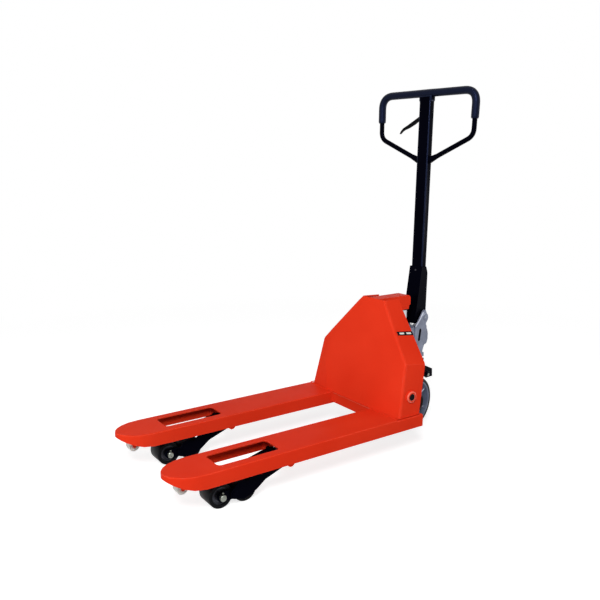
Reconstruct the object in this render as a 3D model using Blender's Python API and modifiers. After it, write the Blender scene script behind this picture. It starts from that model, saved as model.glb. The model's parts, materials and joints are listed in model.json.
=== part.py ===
"""Hand pallet truck: two forks on load rollers, lifted by a hand pump that a steerable tiller works.

Metres, +Z up. The forks point along -Y, and the operator stands at +Y. Z = 0 is the floor under the wheels.
The forks stand part raised, and the steering is a little turned.
Chassis sizes are given with the forks lowered.
"""

import math

import bmesh
import bpy
from mathutils import Matrix, Vector

# Rest pose
LIFT_REST = 0.061
STEER_REST = math.radians(11.5)
TILLER_LEAN = math.radians(2.0)

# Clearances
GAP = 0.0003
RUNNING_GAP = 0.0005
LOOSE_HOLE = 0.0023

# Forks
FORK_SPREAD = 0.540
FORK_WIDTH = 0.155
FORK_TOP = 0.085
FORK_DEPTH = 0.047
FORK_SHEET = 0.004
FORK_TIP_Y = -1.117
FORK_REAR_Y = -0.140
NOSE_LENGTH = 0.107
NOSE_RISE = 0.031
FORK_EDGE_RADIUS = 0.006
WINDOW_MARGIN = 0.033
WINDOW_SETBACK = 0.055
WINDOW_LENGTH = 0.220
WINDOW_CORNER = 0.012
HEEL_STEP = 0.003
ROD_SLOT_WIDTH = 0.030

# Chassis head: a bent sheet with a front face, two sloping wings and two sides
HEAD_SHEET = 0.005
HEAD_TOP_Z = 0.469
HEAD_LIP = 0.020
HEAD_LIP_LEAN = 0.003
HEAD_FOLD_Z = 0.273
HEAD_TOP_HALF = 0.064
HEAD_FOLD_INSET = 0.019
HEAD_FOOT_INSET = 0.008
HEAD_TOP_FRONT_Y = -0.156
HEAD_SLOPE = 0.27
HEAD_CREASE_WIDTH = 0.006
WING_TOP_DEPTH = 0.0788
WING_TOP_DROP = 0.003
WING_FACET_FLARE = 0.0013
WING_FOLD_DEPTH = 0.096
WING_FOLD_DROP = 0.013
WING_FOLD_FLARE = 0.003
WING_FOOT_DEPTH = 0.108
FACET_TOP_Z = 0.315
FACET_FOOT_HALF = 0.150
FACET_TURN = 0.014
FACET_MARGIN = 0.018

# Bracket over the ram
BRACKET_HALF = 0.030
BRACKET_SHEET = 0.005
BRACKET_TOP_Z = 0.468
BRACKET_HEIGHT = 0.056
BRACKET_REACH = 0.014
BRACKET_NOSE_RADIUS = 0.0138
BRACKET_NOTCH_RISE = 0.014
BRACKET_NOTCH_DEPTH = 0.008
BRACKET_NOTCH_SLANT = 0.004

# Cross member and side bosses
BEAM_HEIGHT = 0.040
BEAM_SHEET = 0.006
BEAM_DEPTH = 0.050
BOSS_RADIUS = 0.021
BOSS_OUT = 0.009
BOSS_LENGTH = 0.030
PLUG_LENGTH = 0.005

# Blank rating plate on the right wing
PLATE_DOWN = 0.115
PLATE_ALONG = 0.038
PLATE_LENGTH = 0.076
PLATE_HEIGHT = 0.016
PLATE_SHEET = 0.0008

# Load rollers
ROLLER_RADIUS = 0.040
ROLLER_WIDTH = 0.070
ROLLER_TREAD = 0.012
ROLLER_SPACING = 0.085
ROLLER_FRONT_SETBACK = 0.173
ROLLER_RECESS = 0.004
ROLLER_FACE_GAP = 0.0015
AXLE_RADIUS = 0.008
AXLE_HEAD_RADIUS = 0.0115
AXLE_HEAD_LENGTH = 0.012

# Roller links and roller frames
LINK_SHEET = 0.005
LINK_RADIUS = 0.016
FRAME_SHEET = 0.005
FRAME_ARM = 0.200
FRAME_PIVOT_Z = 0.042
FRAME_HUB_RADIUS = 0.014
FRAME_PIN_RADIUS = 0.008
FRAME_LEVER = 0.024
FRAME_BULGE = 0.030
FRAME_EDGE = 0.024
FRAME_NOTCH = 0.014
FRAME_SKIRT = 0.033
LINK_PIN_RADIUS = 0.007
LINK_PIN_HEAD_RADIUS = 0.010
LINK_PIN_HEAD = 0.004
HANGER_SHEET = 0.005
SPACER_RADIUS = 0.010

# Push rods and rocker
EYE_PIN_RADIUS = 0.005
EYE_RADIUS = 0.0102
ROD_HALF_HEIGHT = 0.008
ROD_THICKNESS = 0.012
CLEVIS_SHEET = 0.006
CLEVIS_RADIUS = 0.010
ROD_CRANK_Y = -0.236
ROCKER_Y = -0.190
ROCKER_Z = 0.154
ROCKER_SHAFT_RADIUS = 0.012
ROCKER_TUBE_RADIUS = 0.019
ROCKER_LEVER = 0.0227
ROCKER_ARM_X = 0.060
ROCKER_ARM_SHEET = 0.010
ROCKER_ARM_HALF = 0.013
ROCKER_SLOT_PLAY = 0.003
ROCKER_SLOT_END = 0.021

# Entry rollers in the fork noses
ENTRY_SETBACK = 0.057
ENTRY_RADIUS = 0.019
ENTRY_WIDTH = 0.034
ENTRY_AXLE_Z = 0.029
ENTRY_AXLE_RADIUS = 0.004
ENTRY_BRACKET_SHEET = 0.003
ENTRY_BRACKET_WIDTH = 0.026

# Thrust plate under the pump
THRUST_Z = 0.206
THRUST_SHEET = 0.018
THRUST_RADIUS = 0.046
THRUST_EAR_HALF = 0.058
THRUST_EAR_SHEET = 0.008
THRUST_PIN_Y = -0.020
THRUST_PIN_Z = 0.235
THRUST_PIN_RADIUS = 0.006
THRUST_EAR_RADIUS = 0.013

# Steering wheels and their carrier
WHEEL_RADIUS = 0.100
WHEEL_WIDTH = 0.050
WHEEL_TRACK = 0.107
WHEEL_TREAD = 0.010
WHEEL_DISH = 0.008
WHEEL_AXLE_RADIUS = 0.0125
HUB_CAP_RADIUS = 0.0355
HUB_CAP_LENGTH = 0.0185
CARRIER_BOSS_RADIUS = 0.026
CARRIER_WEB = 0.022
NECK_RADIUS = 0.026

# Pump body, ram and plunger
PUMP_BASE_Z = 0.2345
PUMP_RADIUS = 0.047
PUMP_TOP_Z = 0.398
RAM_RADIUS = 0.018
RAM_FOOT_Z = 0.239
RAM_NECK_RADIUS = 0.0085
GLAND_RADIUS = 0.030
GLAND_HEIGHT = 0.010
WEB_BOTTOM_Z = 0.257
WEB_TOP_Z = 0.280
CHEEK_BOTTOM_Z = 0.264
WEB_HALF = 0.031
WEB_REACH = 0.100
STEM_RADIUS = 0.0155
SEAT_RADIUS = 0.024
SEAT_FOOT_Z = 0.300
SEAT_TOP_Z = 0.316
PLUNGER_OFFSET = 0.024
PLUNGER_CAP_RADIUS = 0.030
PLUNGER_CAP_WALL = 0.004
PLUNGER_CAP_HEIGHT = 0.020
PLUNGER_POST_RADIUS = 0.011
PLUNGER_POST_HEIGHT = 0.025
PLUNGER_ROD_RADIUS = 0.010
PLUNGER_ROD_LENGTH = 0.112
SPRING_RADIUS = 0.0185
SPRING_WIRE = 0.004
SPRING_TURNS = 5
EAR_SHEET = 0.010
EAR_GAP = 0.004
EAR_SLOT_RADIUS = 0.0075
EAR_SLOT_BACK = 0.040
EAR_SLOT_DROP = 0.083
EAR_SLOT_RISE = 0.036
EAR_SLOT_LEAN = 0.007

# Tiller
TILLER_OFFSET = 0.096
TILLER_PIVOT_Z = 0.425
TILLER_PIN_RADIUS = 0.007
TILLER_WIDTH = 0.050
TILLER_DEPTH = 0.030
TILLER_WALL = 0.0025
TILLER_FOOT = 0.030
HANDLE_HEIGHT = 0.874
SLEEVE_SHEET = 0.004
SLEEVE_HEIGHT = 0.205
SLEEVE_FOOT = 0.020
SLEEVE_FOOT_FRONT = 0.053
SLEEVE_BACK = 0.021
CAM_CONTACT = 0.015
CAM_RATE = 0.015
CAM_HALF = 0.010
CAM_HUB_RADIUS = 0.014
TILLER_RANGE = math.radians(78.0)
LOOP_HALF = 0.214
LOOP_TUBE_RADIUS = 0.009
LOOP_CORNER = 0.050
LOOP_KNEE_RADIUS = 0.030
LOOP_KNEE_DROP = 0.155
LOOP_JOIN_DROP = 0.256
GRIP_RADIUS = 0.0135
GRIP_DROP = 0.104
SADDLE_HALF = 0.028
SADDLE_RADIUS = 0.0145

# Control lever and release linkage
LEVER_DROP = 0.080
LEVER_PIVOT_X = 0.010
LEVER_SHEET = 0.010
LEVER_PIN_RADIUS = 0.003
LEVER_HOOK_RADIUS = 0.0018
LEVER_HOOK_DROP = 0.008
LEVER_SLOT_TOP = 0.018
LEVER_SLOT_BOTTOM = 0.044
RELEASE_X = -0.018
RELEASE_BACK = 0.0098
RELEASE_ROD_RADIUS = 0.002
CHAIN_FOOT_Z = 0.199
VALVE_PIVOT_Y = 0.127
VALVE_PIVOT_Z = 0.184
VALVE_BRACKET_HALF = 0.041
VALVE_BRACKET_SHEET = 0.005
VALVE_LEVER_HALF = 0.028
VALVE_LEVER_SHEET = 0.005
VALVE_BOLT_RADIUS = 0.005
VALVE_BOLT_HEAD = 0.009
VALVE_BOLT_HEAD_LENGTH = 0.006
VALVE_ARM_DEPTH = 0.018
VALVE_NOSE_REACH = 0.038
VALVE_NOSE_BELOW = 0.020
VALVE_NOSE_ABOVE = 0.013
VALVE_KNEE = 0.030
VALVE_HUB_RADIUS = 0.0097

# Sizes worked out from the ones above
FORK_CENTRE = (FORK_SPREAD - FORK_WIDTH) / 2
HEAD_FOOT_HALF = FORK_SPREAD / 2 - HEAD_FOOT_INSET
HEAD_FOLD_HALF = HEAD_FOOT_HALF - HEAD_FOLD_INSET
FORK_BOTTOM = FORK_TOP - FORK_DEPTH
FORK_UNDERSIDE = FORK_TOP - FORK_SHEET
TAPER_Y = FORK_TIP_Y + NOSE_LENGTH
ROLLER_FRONT_Y = FORK_TIP_Y + ROLLER_FRONT_SETBACK
LINK_PIVOT_Y = ROLLER_FRONT_Y + ROLLER_SPACING / 2
FRAME_DROP = FRAME_PIVOT_Z + LIFT_REST - ROLLER_RADIUS
FRAME_ANGLE = math.asin(FRAME_DROP / FRAME_ARM)
FRAME_PIVOT_Y = LINK_PIVOT_Y + FRAME_ARM * math.cos(FRAME_ANGLE)
ROD_Z = FRAME_PIVOT_Z + FRAME_LEVER
HEAD_FOOT_Z = FORK_TOP - HEEL_STEP + GAP
ROCKER_RISE = THRUST_PIN_Z - ROCKER_Z - LIFT_REST
ROCKER_SPAN = THRUST_PIN_Y - ROCKER_Y
ROCKER_ANGLE = math.atan2(ROCKER_RISE, ROCKER_SPAN)
ROCKER_ARM = math.hypot(ROCKER_RISE, ROCKER_SPAN)
PLUNGER_Y = TILLER_OFFSET + PLUNGER_OFFSET
PLUNGER_TOP_Z = TILLER_PIVOT_Z - CAM_CONTACT - GAP - PLUNGER_POST_HEIGHT
LINK_INNER = ROLLER_WIDTH / 2 + ROLLER_FACE_GAP
FRAME_INNER = LINK_INNER + LINK_SHEET + 2 * RUNNING_GAP
EAR_INNER = TILLER_WIDTH / 2 + SLEEVE_SHEET + EAR_GAP + RUNNING_GAP

FINISHES = {
    "chassis_paint": ((0.80, 0.062, 0.022), 0.32, 0.0),
    "black_paint": ((0.012, 0.012, 0.016), 0.38, 0.0),
    "black_plastic": ((0.02, 0.02, 0.022), 0.55, 0.0),
    "grip_coating": ((0.028, 0.030, 0.036), 0.62, 0.0),
    "cast_grey": ((0.33, 0.34, 0.35), 0.48, 0.55),
    "bright_zinc": ((0.62, 0.63, 0.62), 0.30, 1.0),
    "plain_steel": ((0.42, 0.42, 0.41), 0.38, 1.0),
    "hard_chrome": ((0.75, 0.75, 0.75), 0.10, 1.0),
    "rim_grey": ((0.36, 0.37, 0.39), 0.45, 0.35),
    "black_tread": ((0.022, 0.022, 0.024), 0.60, 0.0),
    "white_nylon": ((0.72, 0.73, 0.72), 0.45, 0.0),
    "spring_steel": ((0.25, 0.25, 0.26), 0.40, 1.0),
}


def clear_scene():
    for item in list(bpy.data.objects):
        bpy.data.objects.remove(item, do_unlink=True)


def new_collection(name):
    made = bpy.data.collections.new(name)
    bpy.context.scene.collection.children.link(made)
    return made


def make_finishes():
    made = {}
    for name, (colour, roughness, metallic) in FINISHES.items():
        finish = bpy.data.materials.new(name)
        finish.use_nodes = True
        shader = finish.node_tree.nodes["Principled BSDF"]
        shader.inputs["Base Color"].default_value = (*colour, 1.0)
        shader.inputs["Roughness"].default_value = roughness
        shader.inputs["Metallic"].default_value = metallic
        finish.diffuse_color = (*colour, 1.0)
        made[name] = finish
    return made


clear_scene()
PARTS = new_collection("hand_pallet_truck")
TOOLS = new_collection("shaping_tools")
FINISH = make_finishes()


def axis(name, parent, location=(0, 0, 0), rotation=(0, 0, 0)):
    """An empty on a joint's axis, or at the origin of a group of fixed pieces."""
    made = bpy.data.objects.new(name, None)
    made.empty_display_size = 0.05
    made.parent = parent
    made.location = location
    made.rotation_euler = rotation
    PARTS.objects.link(made)
    return made


def piece(name, mesh, parent, finish, location=(0, 0, 0), rotation=(0, 0, 0)):
    """A named sub-part with its finish."""
    made = bpy.data.objects.new(name, mesh)
    made.parent = parent
    made.location = location
    made.rotation_euler = rotation
    mesh.materials.clear()
    mesh.materials.append(FINISH[finish].copy())
    mesh.materials[0].name = name + "_finish"
    PARTS.objects.link(made)
    return made


def tool(mesh, target, operation, location=(0, 0, 0)):
    """A hidden shape that is cut from the target or joined to it, placed in the target's own frame."""
    name = target.name + "_" + operation.lower() + "_" + str(len(target.modifiers))
    made = bpy.data.objects.new(name, mesh)
    made.parent = target
    made.location = location
    made.hide_render = True
    made.display_type = "WIRE"
    TOOLS.objects.link(made)
    step = target.modifiers.new(name, "BOOLEAN")
    step.operation = operation
    step.solver = "EXACT"
    step.object = made
    return made


def cut(target, *meshes):
    for mesh in meshes:
        tool(mesh, target, "DIFFERENCE")


def join(target, *meshes):
    for mesh in meshes:
        tool(mesh, target, "UNION")


def to_mesh(shape, name, smooth=True):
    """The mesh of a bmesh, its rounds shaded smooth and its edges sharp."""
    mesh = bpy.data.meshes.new(name)
    shape.to_mesh(mesh)
    shape.free()
    if smooth:
        mesh.shade_smooth()
        mesh.set_sharp_from_angle(angle=math.radians(35))
    return mesh


def block(low, high, bevel=0.0, upright_only=False):
    """A box between two corners, its edges or its upright edges rounded."""
    size = Vector(high) - Vector(low)
    centre = (Vector(high) + Vector(low)) / 2
    shape = bmesh.new()
    place = Matrix.Translation(centre) @ Matrix.Diagonal((*size, 1.0))
    bmesh.ops.create_cube(shape, size=1.0, matrix=place)
    if bevel:
        edges = shape.edges[:]
        if upright_only:
            edges = [e for e in edges if abs(e.verts[0].co.z - e.verts[1].co.z) > 1e-6]
        bmesh.ops.bevel(shape, geom=edges, offset=bevel, segments=2, profile=0.5, affect="EDGES")
    return to_mesh(shape, "block")


def bar(radius, start, end, sides=16, end_radius=None):
    """A round bar between two points."""
    start, end = Vector(start), Vector(end)
    along = end - start
    turn = along.to_track_quat("Z", "Y").to_matrix().to_4x4()
    place = Matrix.Translation((start + end) / 2) @ turn
    last = radius if end_radius is None else end_radius
    shape = bmesh.new()
    bmesh.ops.create_cone(
        shape, cap_ends=True, segments=sides, radius1=radius, radius2=last, depth=along.length, matrix=place
    )
    return to_mesh(shape, "bar")


def turned(name, profile, parent, finish, location, rotation, steps=24):
    """A piece turned about its own Z axis from (radius, height) points down its outer side."""
    mesh = bpy.data.meshes.new(name)
    points = [(radius, 0.0, height) for radius, height in profile]
    edges = [(i, (i + 1) % len(points)) for i in range(len(points))]
    edges = [(i, j) for i, j in edges if max(points[i][0], points[j][0]) > 0]
    mesh.from_pydata(points, edges, [])
    made = piece(name, mesh, parent, finish, location, rotation)
    screw = made.modifiers.new("turn", "SCREW")
    screw.axis = "Z"
    screw.angle = math.tau
    screw.steps = steps
    screw.render_steps = steps
    screw.use_merge_vertices = True
    screw.merge_threshold = 0.00001
    screw.use_smooth_shade = True
    return made


def plate(outline, thickness, holes=()):
    """A flat outline in Y and Z, as thick as stated, centred on X = 0."""
    curve = bpy.data.curves.new("outline", "CURVE")
    curve.dimensions = "2D"
    curve.fill_mode = "BOTH"
    curve.extrude = thickness / 2
    for points in (outline, *holes):
        line = curve.splines.new("POLY")
        line.points.add(len(points) - 1)
        for point, (y, z) in zip(line.points, points):
            point.co = (y, z, 0.0, 1.0)
        line.use_cyclic_u = True
    return curve_mesh(curve, Matrix(((0, 0, 1, 0), (1, 0, 0, 0), (0, 1, 0, 0), (0, 0, 0, 1))))


def curve_mesh(curve, place):
    """The welded mesh of a curve, moved by a matrix."""
    holder = bpy.data.objects.new("curve", curve)
    TOOLS.objects.link(holder)
    graph = bpy.context.evaluated_depsgraph_get()
    mesh = bpy.data.meshes.new_from_object(holder.evaluated_get(graph))
    bpy.data.objects.remove(holder)
    bpy.data.curves.remove(curve)
    shape = bmesh.new()
    shape.from_mesh(mesh)
    bpy.data.meshes.remove(mesh)
    bmesh.ops.remove_doubles(shape, verts=shape.verts, dist=0.00001)
    bmesh.ops.transform(shape, matrix=place, verts=shape.verts)
    bmesh.ops.recalc_face_normals(shape, faces=shape.faces)
    return to_mesh(shape, "drawn")


def tube(points, radius, resolution=2):
    """A round tube along points, with filled ends."""
    curve = bpy.data.curves.new("tube", "CURVE")
    curve.dimensions = "3D"
    curve.bevel_depth = radius
    curve.bevel_resolution = resolution
    curve.use_fill_caps = True
    line = curve.splines.new("POLY")
    line.points.add(len(points) - 1)
    for point, place in zip(line.points, points):
        point.co = (*place, 1.0)
    return curve_mesh(curve, Matrix.Identity(4))


def shifted(mesh, offset):
    mesh.transform(Matrix.Translation(offset))
    return mesh


def arc(centre, radius, start, end, count):
    """Points on an arc in a plane, angles in degrees."""
    angles = [math.radians(start + (end - start) * i / count) for i in range(count + 1)]
    return [(centre[0] + radius * math.cos(a), centre[1] + radius * math.sin(a)) for a in angles]


def circle(centre, radius, count=12):
    return arc(centre, radius, 0, 360 * (count - 1) / count, count - 1)


def capsule(start, end, radius, count=5):
    """The outline of a bar with round ends between two points of a plane."""
    heading = math.degrees(math.atan2(end[1] - start[1], end[0] - start[0]))
    return arc(end, radius, heading - 90, heading + 90, count) + arc(
        start, radius, heading + 90, heading + 270, count
    )


def rounded_path(corners, radii, count=5):
    """Points along straight runs whose corners are rounded, in two or three dimensions."""
    path = [Vector(corners[0])]
    for before, corner, after, radius in zip(corners, corners[1:], corners[2:], radii):
        corner = Vector(corner)
        inward = (Vector(before) - corner).normalized()
        outward = (Vector(after) - corner).normalized()
        half = inward.angle(outward) / 2
        reach = radius / math.tan(half)
        centre = corner + (inward + outward).normalized() * (radius / math.sin(half))
        first = (corner + inward * reach - centre).normalized()
        last = (corner + outward * reach - centre).normalized()
        for i in range(count + 1):
            path.append(centre + first.slerp(last, i / count) * radius)
    path.append(Vector(corners[-1]))
    return path


def loft(rings):
    """A closed solid through rings of as many points each."""
    shape = bmesh.new()
    rows = [[shape.verts.new(point) for point in ring] for ring in rings]
    for row, following in zip(rows, rows[1:]):
        for i in range(len(row)):
            j = (i + 1) % len(row)
            shape.faces.new((row[i], row[j], following[j], following[i]))
    shape.faces.new(list(reversed(rows[0])))
    shape.faces.new(rows[-1])
    bmesh.ops.remove_doubles(shape, verts=shape.verts, dist=0.00001)
    bmesh.ops.recalc_face_normals(shape, faces=shape.faces)
    return to_mesh(shape, "loft")


def fork_ring(y, inset, top, bottom):
    """An upright section across a fork: flat bottom, rounded top edges, narrowing to the tip."""
    tip = FORK_TIP_Y + inset
    reach = max(0.0, (TAPER_Y - y) / (TAPER_Y - tip))
    half = (FORK_WIDTH / 2 - inset) * math.sqrt(max(0.0, 1.0 - reach * reach))
    half = max(half, 0.004)
    radius = min(max(FORK_EDGE_RADIUS - inset, 0.001), half * 0.9)
    left = arc((-half + radius, top - radius), radius, 180, 90, 2)
    right = arc((half - radius, top - radius), radius, 90, 0, 2)
    outline = [(-half, bottom), *left, *right, (half, bottom)]
    return [(x, y, z) for x, z in outline]


def nose_stations(inset):
    """Stations from the start of the taper to the tip, closer together towards the tip."""
    length = TAPER_Y - FORK_TIP_Y - inset
    turns = [math.radians(a) for a in (0, 20, 38, 54, 68, 80, 90)]
    return [TAPER_Y - length * math.sin(a) for a in turns]


def fork_solid(inset, overrun):
    """The fork's outside, or with an inset the space inside it, which runs on below and behind."""
    rings = []
    top = FORK_TOP - inset
    heel_y = HEEL_STEP_Y
    for y, drop in (
        (FORK_REAR_Y + overrun, HEEL_STEP),
        (heel_y + 0.0005, HEEL_STEP),
        (heel_y - 0.0005, 0.0),
    ):
        rings.append(fork_ring(y, inset, top - drop, FORK_BOTTOM - overrun))
    for y in nose_stations(inset):
        reach = (TAPER_Y - y) / NOSE_LENGTH
        bottom = FORK_BOTTOM + NOSE_RISE * reach * reach - overrun
        rings.append(fork_ring(y, inset, top, bottom))
    return loft(rings)


def head_front_y(z):
    """Where the head's sloping front face stands at a height."""
    return HEAD_TOP_FRONT_Y - HEAD_SLOPE * (HEAD_TOP_Z - z)


HEEL_STEP_Y = head_front_y(FORK_TOP) - 0.0015


def head_half_width(z):
    """Half the width of the head's front face at a height, between its two long creases."""
    if z >= HEAD_FOLD_Z:
        share = (HEAD_TOP_Z - z) / (HEAD_TOP_Z - HEAD_FOLD_Z)
        return HEAD_TOP_HALF + (HEAD_FOLD_HALF - HEAD_TOP_HALF) * share
    share = (HEAD_FOLD_Z - z) / (HEAD_FOLD_Z - HEAD_FOOT_Z)
    return HEAD_FOLD_HALF + (HEAD_FOOT_HALF - HEAD_FOLD_HALF) * share


def head_row(z, fold, turn, flare, depth, drop, lean=0.0):
    """Six points across the head at a height: back edge, crease and fold on the left, then on the right."""
    half = head_half_width(z)
    front = head_front_y(z) + lean
    right = [(fold, front, z), (half, front + turn, z), (half + flare, front + depth, z - drop)]
    left = [(-x, y, height) for x, y, height in reversed(right)]
    return left + right


def upper_wing(lip_z):
    """Flare, depth and drop of the wing's back edge at its top and at the facet's top, on one flat face."""
    share = (lip_z - FACET_TOP_Z) / (lip_z - HEAD_FOLD_Z)
    depth = WING_TOP_DEPTH + (WING_FOLD_DEPTH - WING_TOP_DEPTH) * share
    drop = WING_TOP_DROP + (WING_FOLD_DROP - WING_TOP_DROP) * share
    narrowing = head_half_width(lip_z) - head_half_width(FACET_TOP_Z)
    lean = head_front_y(lip_z) - head_front_y(FACET_TOP_Z)
    rise = Vector((narrowing, lean, lip_z - FACET_TOP_Z))
    out = Vector((WING_FACET_FLARE, depth, -drop)).cross(rise)
    flare = (out.z * WING_TOP_DROP - out.y * WING_TOP_DEPTH) / out.x
    return (flare, WING_TOP_DEPTH, WING_TOP_DROP), (WING_FACET_FLARE, depth, drop)


def head_rows():
    """Rows of points at the head's top, under its lip, at the facet's top, at its fold and at its foot."""
    lip_z = HEAD_TOP_Z - HEAD_LIP
    foot_z = HEAD_FOOT_Z - HEAD_SHEET
    top, between = upper_wing(lip_z)
    fold = (WING_FOLD_FLARE, WING_FOLD_DEPTH, WING_FOLD_DROP)
    facet_top = head_half_width(FACET_TOP_Z) - FACET_MARGIN
    sink = (FACET_TOP_Z - HEAD_FOLD_Z) / (FACET_TOP_Z - HEAD_FOOT_Z)
    facet_fold = facet_top + (FACET_FOOT_HALF - facet_top) * sink
    return [
        head_row(HEAD_TOP_Z, HEAD_TOP_HALF - FACET_MARGIN, 0.0, *top, HEAD_LIP_LEAN),
        head_row(lip_z, head_half_width(lip_z) - FACET_MARGIN, 0.0, *top),
        head_row(FACET_TOP_Z, facet_top, 0.0, *between),
        head_row(HEAD_FOLD_Z, facet_fold, FACET_TURN * sink, *fold),
        head_row(foot_z, FACET_FOOT_HALF, FACET_TURN, 0.0, WING_FOOT_DEPTH, 0.0),
    ]


def head_surface():
    """The open bent surface of the head, its creases rounded, before its sheet thickness."""
    shape = bmesh.new()
    rows = [[shape.verts.new(point) for point in row] for row in head_rows()]
    for row, following in zip(rows, rows[1:]):
        for i in range(len(row) - 1):
            shape.faces.new((row[i], row[i + 1], following[i + 1], following[i]))
    bmesh.ops.recalc_face_normals(shape, faces=shape.faces)
    front = min(shape.faces, key=lambda f: f.calc_center_median().y)
    if front.normal.y > 0:
        bmesh.ops.reverse_faces(shape, faces=shape.faces)
    inner = [edge for edge in shape.edges if len(edge.link_faces) == 2]
    bent = [edge for edge in inner if edge.calc_face_angle() > math.radians(12)]
    bmesh.ops.bevel(shape, geom=bent, offset=HEAD_CREASE_WIDTH, segments=2, profile=0.5, affect="EDGES")
    return to_mesh(shape, "head_surface", smooth=False)


def make_forks(chassis):
    for side, word in ((-1, "left"), (1, "right")):
        place = (side * FORK_CENTRE, 0, 0)
        fork = piece(f"fork_{word}", fork_solid(0.0, 0.0), chassis, "chassis_paint", place)
        cut(fork, fork_solid(FORK_SHEET, 0.02))
        half = FORK_WIDTH / 2 - WINDOW_MARGIN
        window_front = TAPER_Y + WINDOW_SETBACK
        cut(
            fork,
            block(
                (-half, window_front, FORK_UNDERSIDE - 0.01),
                (half, window_front + WINDOW_LENGTH, FORK_TOP + 0.01),
                WINDOW_CORNER,
                upright_only=True,
            ),
        )
        slot = ROD_SLOT_WIDTH / 2
        cut(
            fork,
            block(
                (-slot, HEEL_STEP_Y + 0.012, FORK_BOTTOM + 0.01),
                (slot, FORK_REAR_Y + 0.02, FORK_TOP + 0.01),
            ),
        )
        inner = FORK_WIDTH / 2 - FORK_SHEET
        low = (FRAME_PIVOT_Y, FRAME_PIVOT_Z)
        high = (FRAME_PIVOT_Y, FORK_UNDERSIDE - 0.012)
        for edge in (-1, 1):
            x = edge * (inner - HANGER_SHEET / 2 + 0.0002)
            join(fork, shifted(plate(capsule(low, high, FRAME_HUB_RADIUS), HANGER_SHEET), (x, 0, 0)))
        reach = inner - 0.0002
        cut(fork, bar(FRAME_PIN_RADIUS + GAP, (-reach, *low), (reach, *low)))
        add_entry_bracket(fork)


def add_entry_bracket(fork):
    """The two cheeks and the pin that carry the small roller under a fork's nose."""
    y = FORK_TIP_Y + ENTRY_SETBACK
    half = ENTRY_BRACKET_WIDTH / 2
    tip = ENTRY_AXLE_RADIUS * 1.6
    outline = [(y - half, FORK_UNDERSIDE + 0.002)]
    outline += arc((y, ENTRY_AXLE_Z), tip, 205, 335, 3)
    outline += [(y + half, FORK_UNDERSIDE + 0.002)]
    cheek_x = ENTRY_WIDTH / 2 + ENTRY_BRACKET_SHEET / 2 + RUNNING_GAP
    for edge in (-1, 1):
        join(fork, shifted(plate(outline, ENTRY_BRACKET_SHEET), (edge * cheek_x, 0, 0)))
    end = cheek_x + ENTRY_BRACKET_SHEET
    join(fork, bar(ENTRY_AXLE_RADIUS, (-end, y, ENTRY_AXLE_Z), (end, y, ENTRY_AXLE_Z), 12))


def make_head(chassis):
    head = piece("head_plate", head_surface(), chassis, "chassis_paint")
    shell = head.modifiers.new("sheet", "SOLIDIFY")
    shell.thickness = HEAD_SHEET
    shell.offset = -1.0
    shell.use_even_offset = True
    reach = head_half_width(ROCKER_Z) + 0.02
    hole = bar(BOSS_RADIUS + GAP, (-reach, ROCKER_Y, ROCKER_Z), (reach, ROCKER_Y, ROCKER_Z), 24)
    cut(head, hole)
    wide, deep = FORK_SPREAD, 0.5
    cut(head, block((-wide, -deep, HEAD_FOOT_Z - 0.05), (wide, deep, HEAD_FOOT_Z)))


def make_bracket(chassis):
    """The inverted channel that the ram lifts by. It ends in a rounded nose behind the ram."""
    lean = HEAD_LIP_LEAN / HEAD_LIP
    inset = HEAD_SHEET * math.hypot(1, HEAD_SLOPE + lean) + GAP
    foot = BRACKET_TOP_Z - BRACKET_HEIGHT
    crease = HEAD_TOP_Z - HEAD_LIP
    lower_front = head_front_y(foot) + inset
    front = head_front_y(BRACKET_TOP_Z) + inset + lean * (BRACKET_TOP_Z - crease)
    radius = BRACKET_NOSE_RADIUS
    outline = [(lower_front, foot), (head_front_y(crease) + inset, crease), (front, BRACKET_TOP_Z)]
    outline += arc((BRACKET_REACH - radius, BRACKET_TOP_Z - radius), radius, 90, 0, 4)
    notch_y = BRACKET_REACH - BRACKET_NOTCH_DEPTH
    outline += [(BRACKET_REACH, foot + BRACKET_NOTCH_RISE + BRACKET_NOTCH_SLANT)]
    outline += [(notch_y, foot + BRACKET_NOTCH_RISE), (notch_y, foot)]
    bracket = piece("ram_bracket", plate(outline, 2 * BRACKET_HALF), chassis, "chassis_paint")
    inside = BRACKET_HALF - BRACKET_SHEET
    cut(
        bracket,
        block(
            (-inside, lower_front - 0.02, foot - 0.02),
            (inside, BRACKET_REACH - BRACKET_SHEET, BRACKET_TOP_Z - BRACKET_SHEET),
        ),
    )


def make_beam(chassis):
    """The channel between the forks, under the head's front face."""
    half = FORK_CENTRE - FORK_WIDTH / 2 - GAP
    front = head_front_y(FORK_TOP)
    top = HEAD_FOOT_Z - GAP
    beam = piece(
        "cross_member",
        block((-half, front, top - BEAM_HEIGHT), (half, front + BEAM_DEPTH, top)),
        chassis,
        "chassis_paint",
    )
    cut(
        beam,
        block(
            (-half - 0.01, front + BEAM_SHEET, top - BEAM_HEIGHT - 0.01),
            (half + 0.01, front + BEAM_DEPTH + 0.01, top - BEAM_SHEET),
        ),
    )


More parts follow.
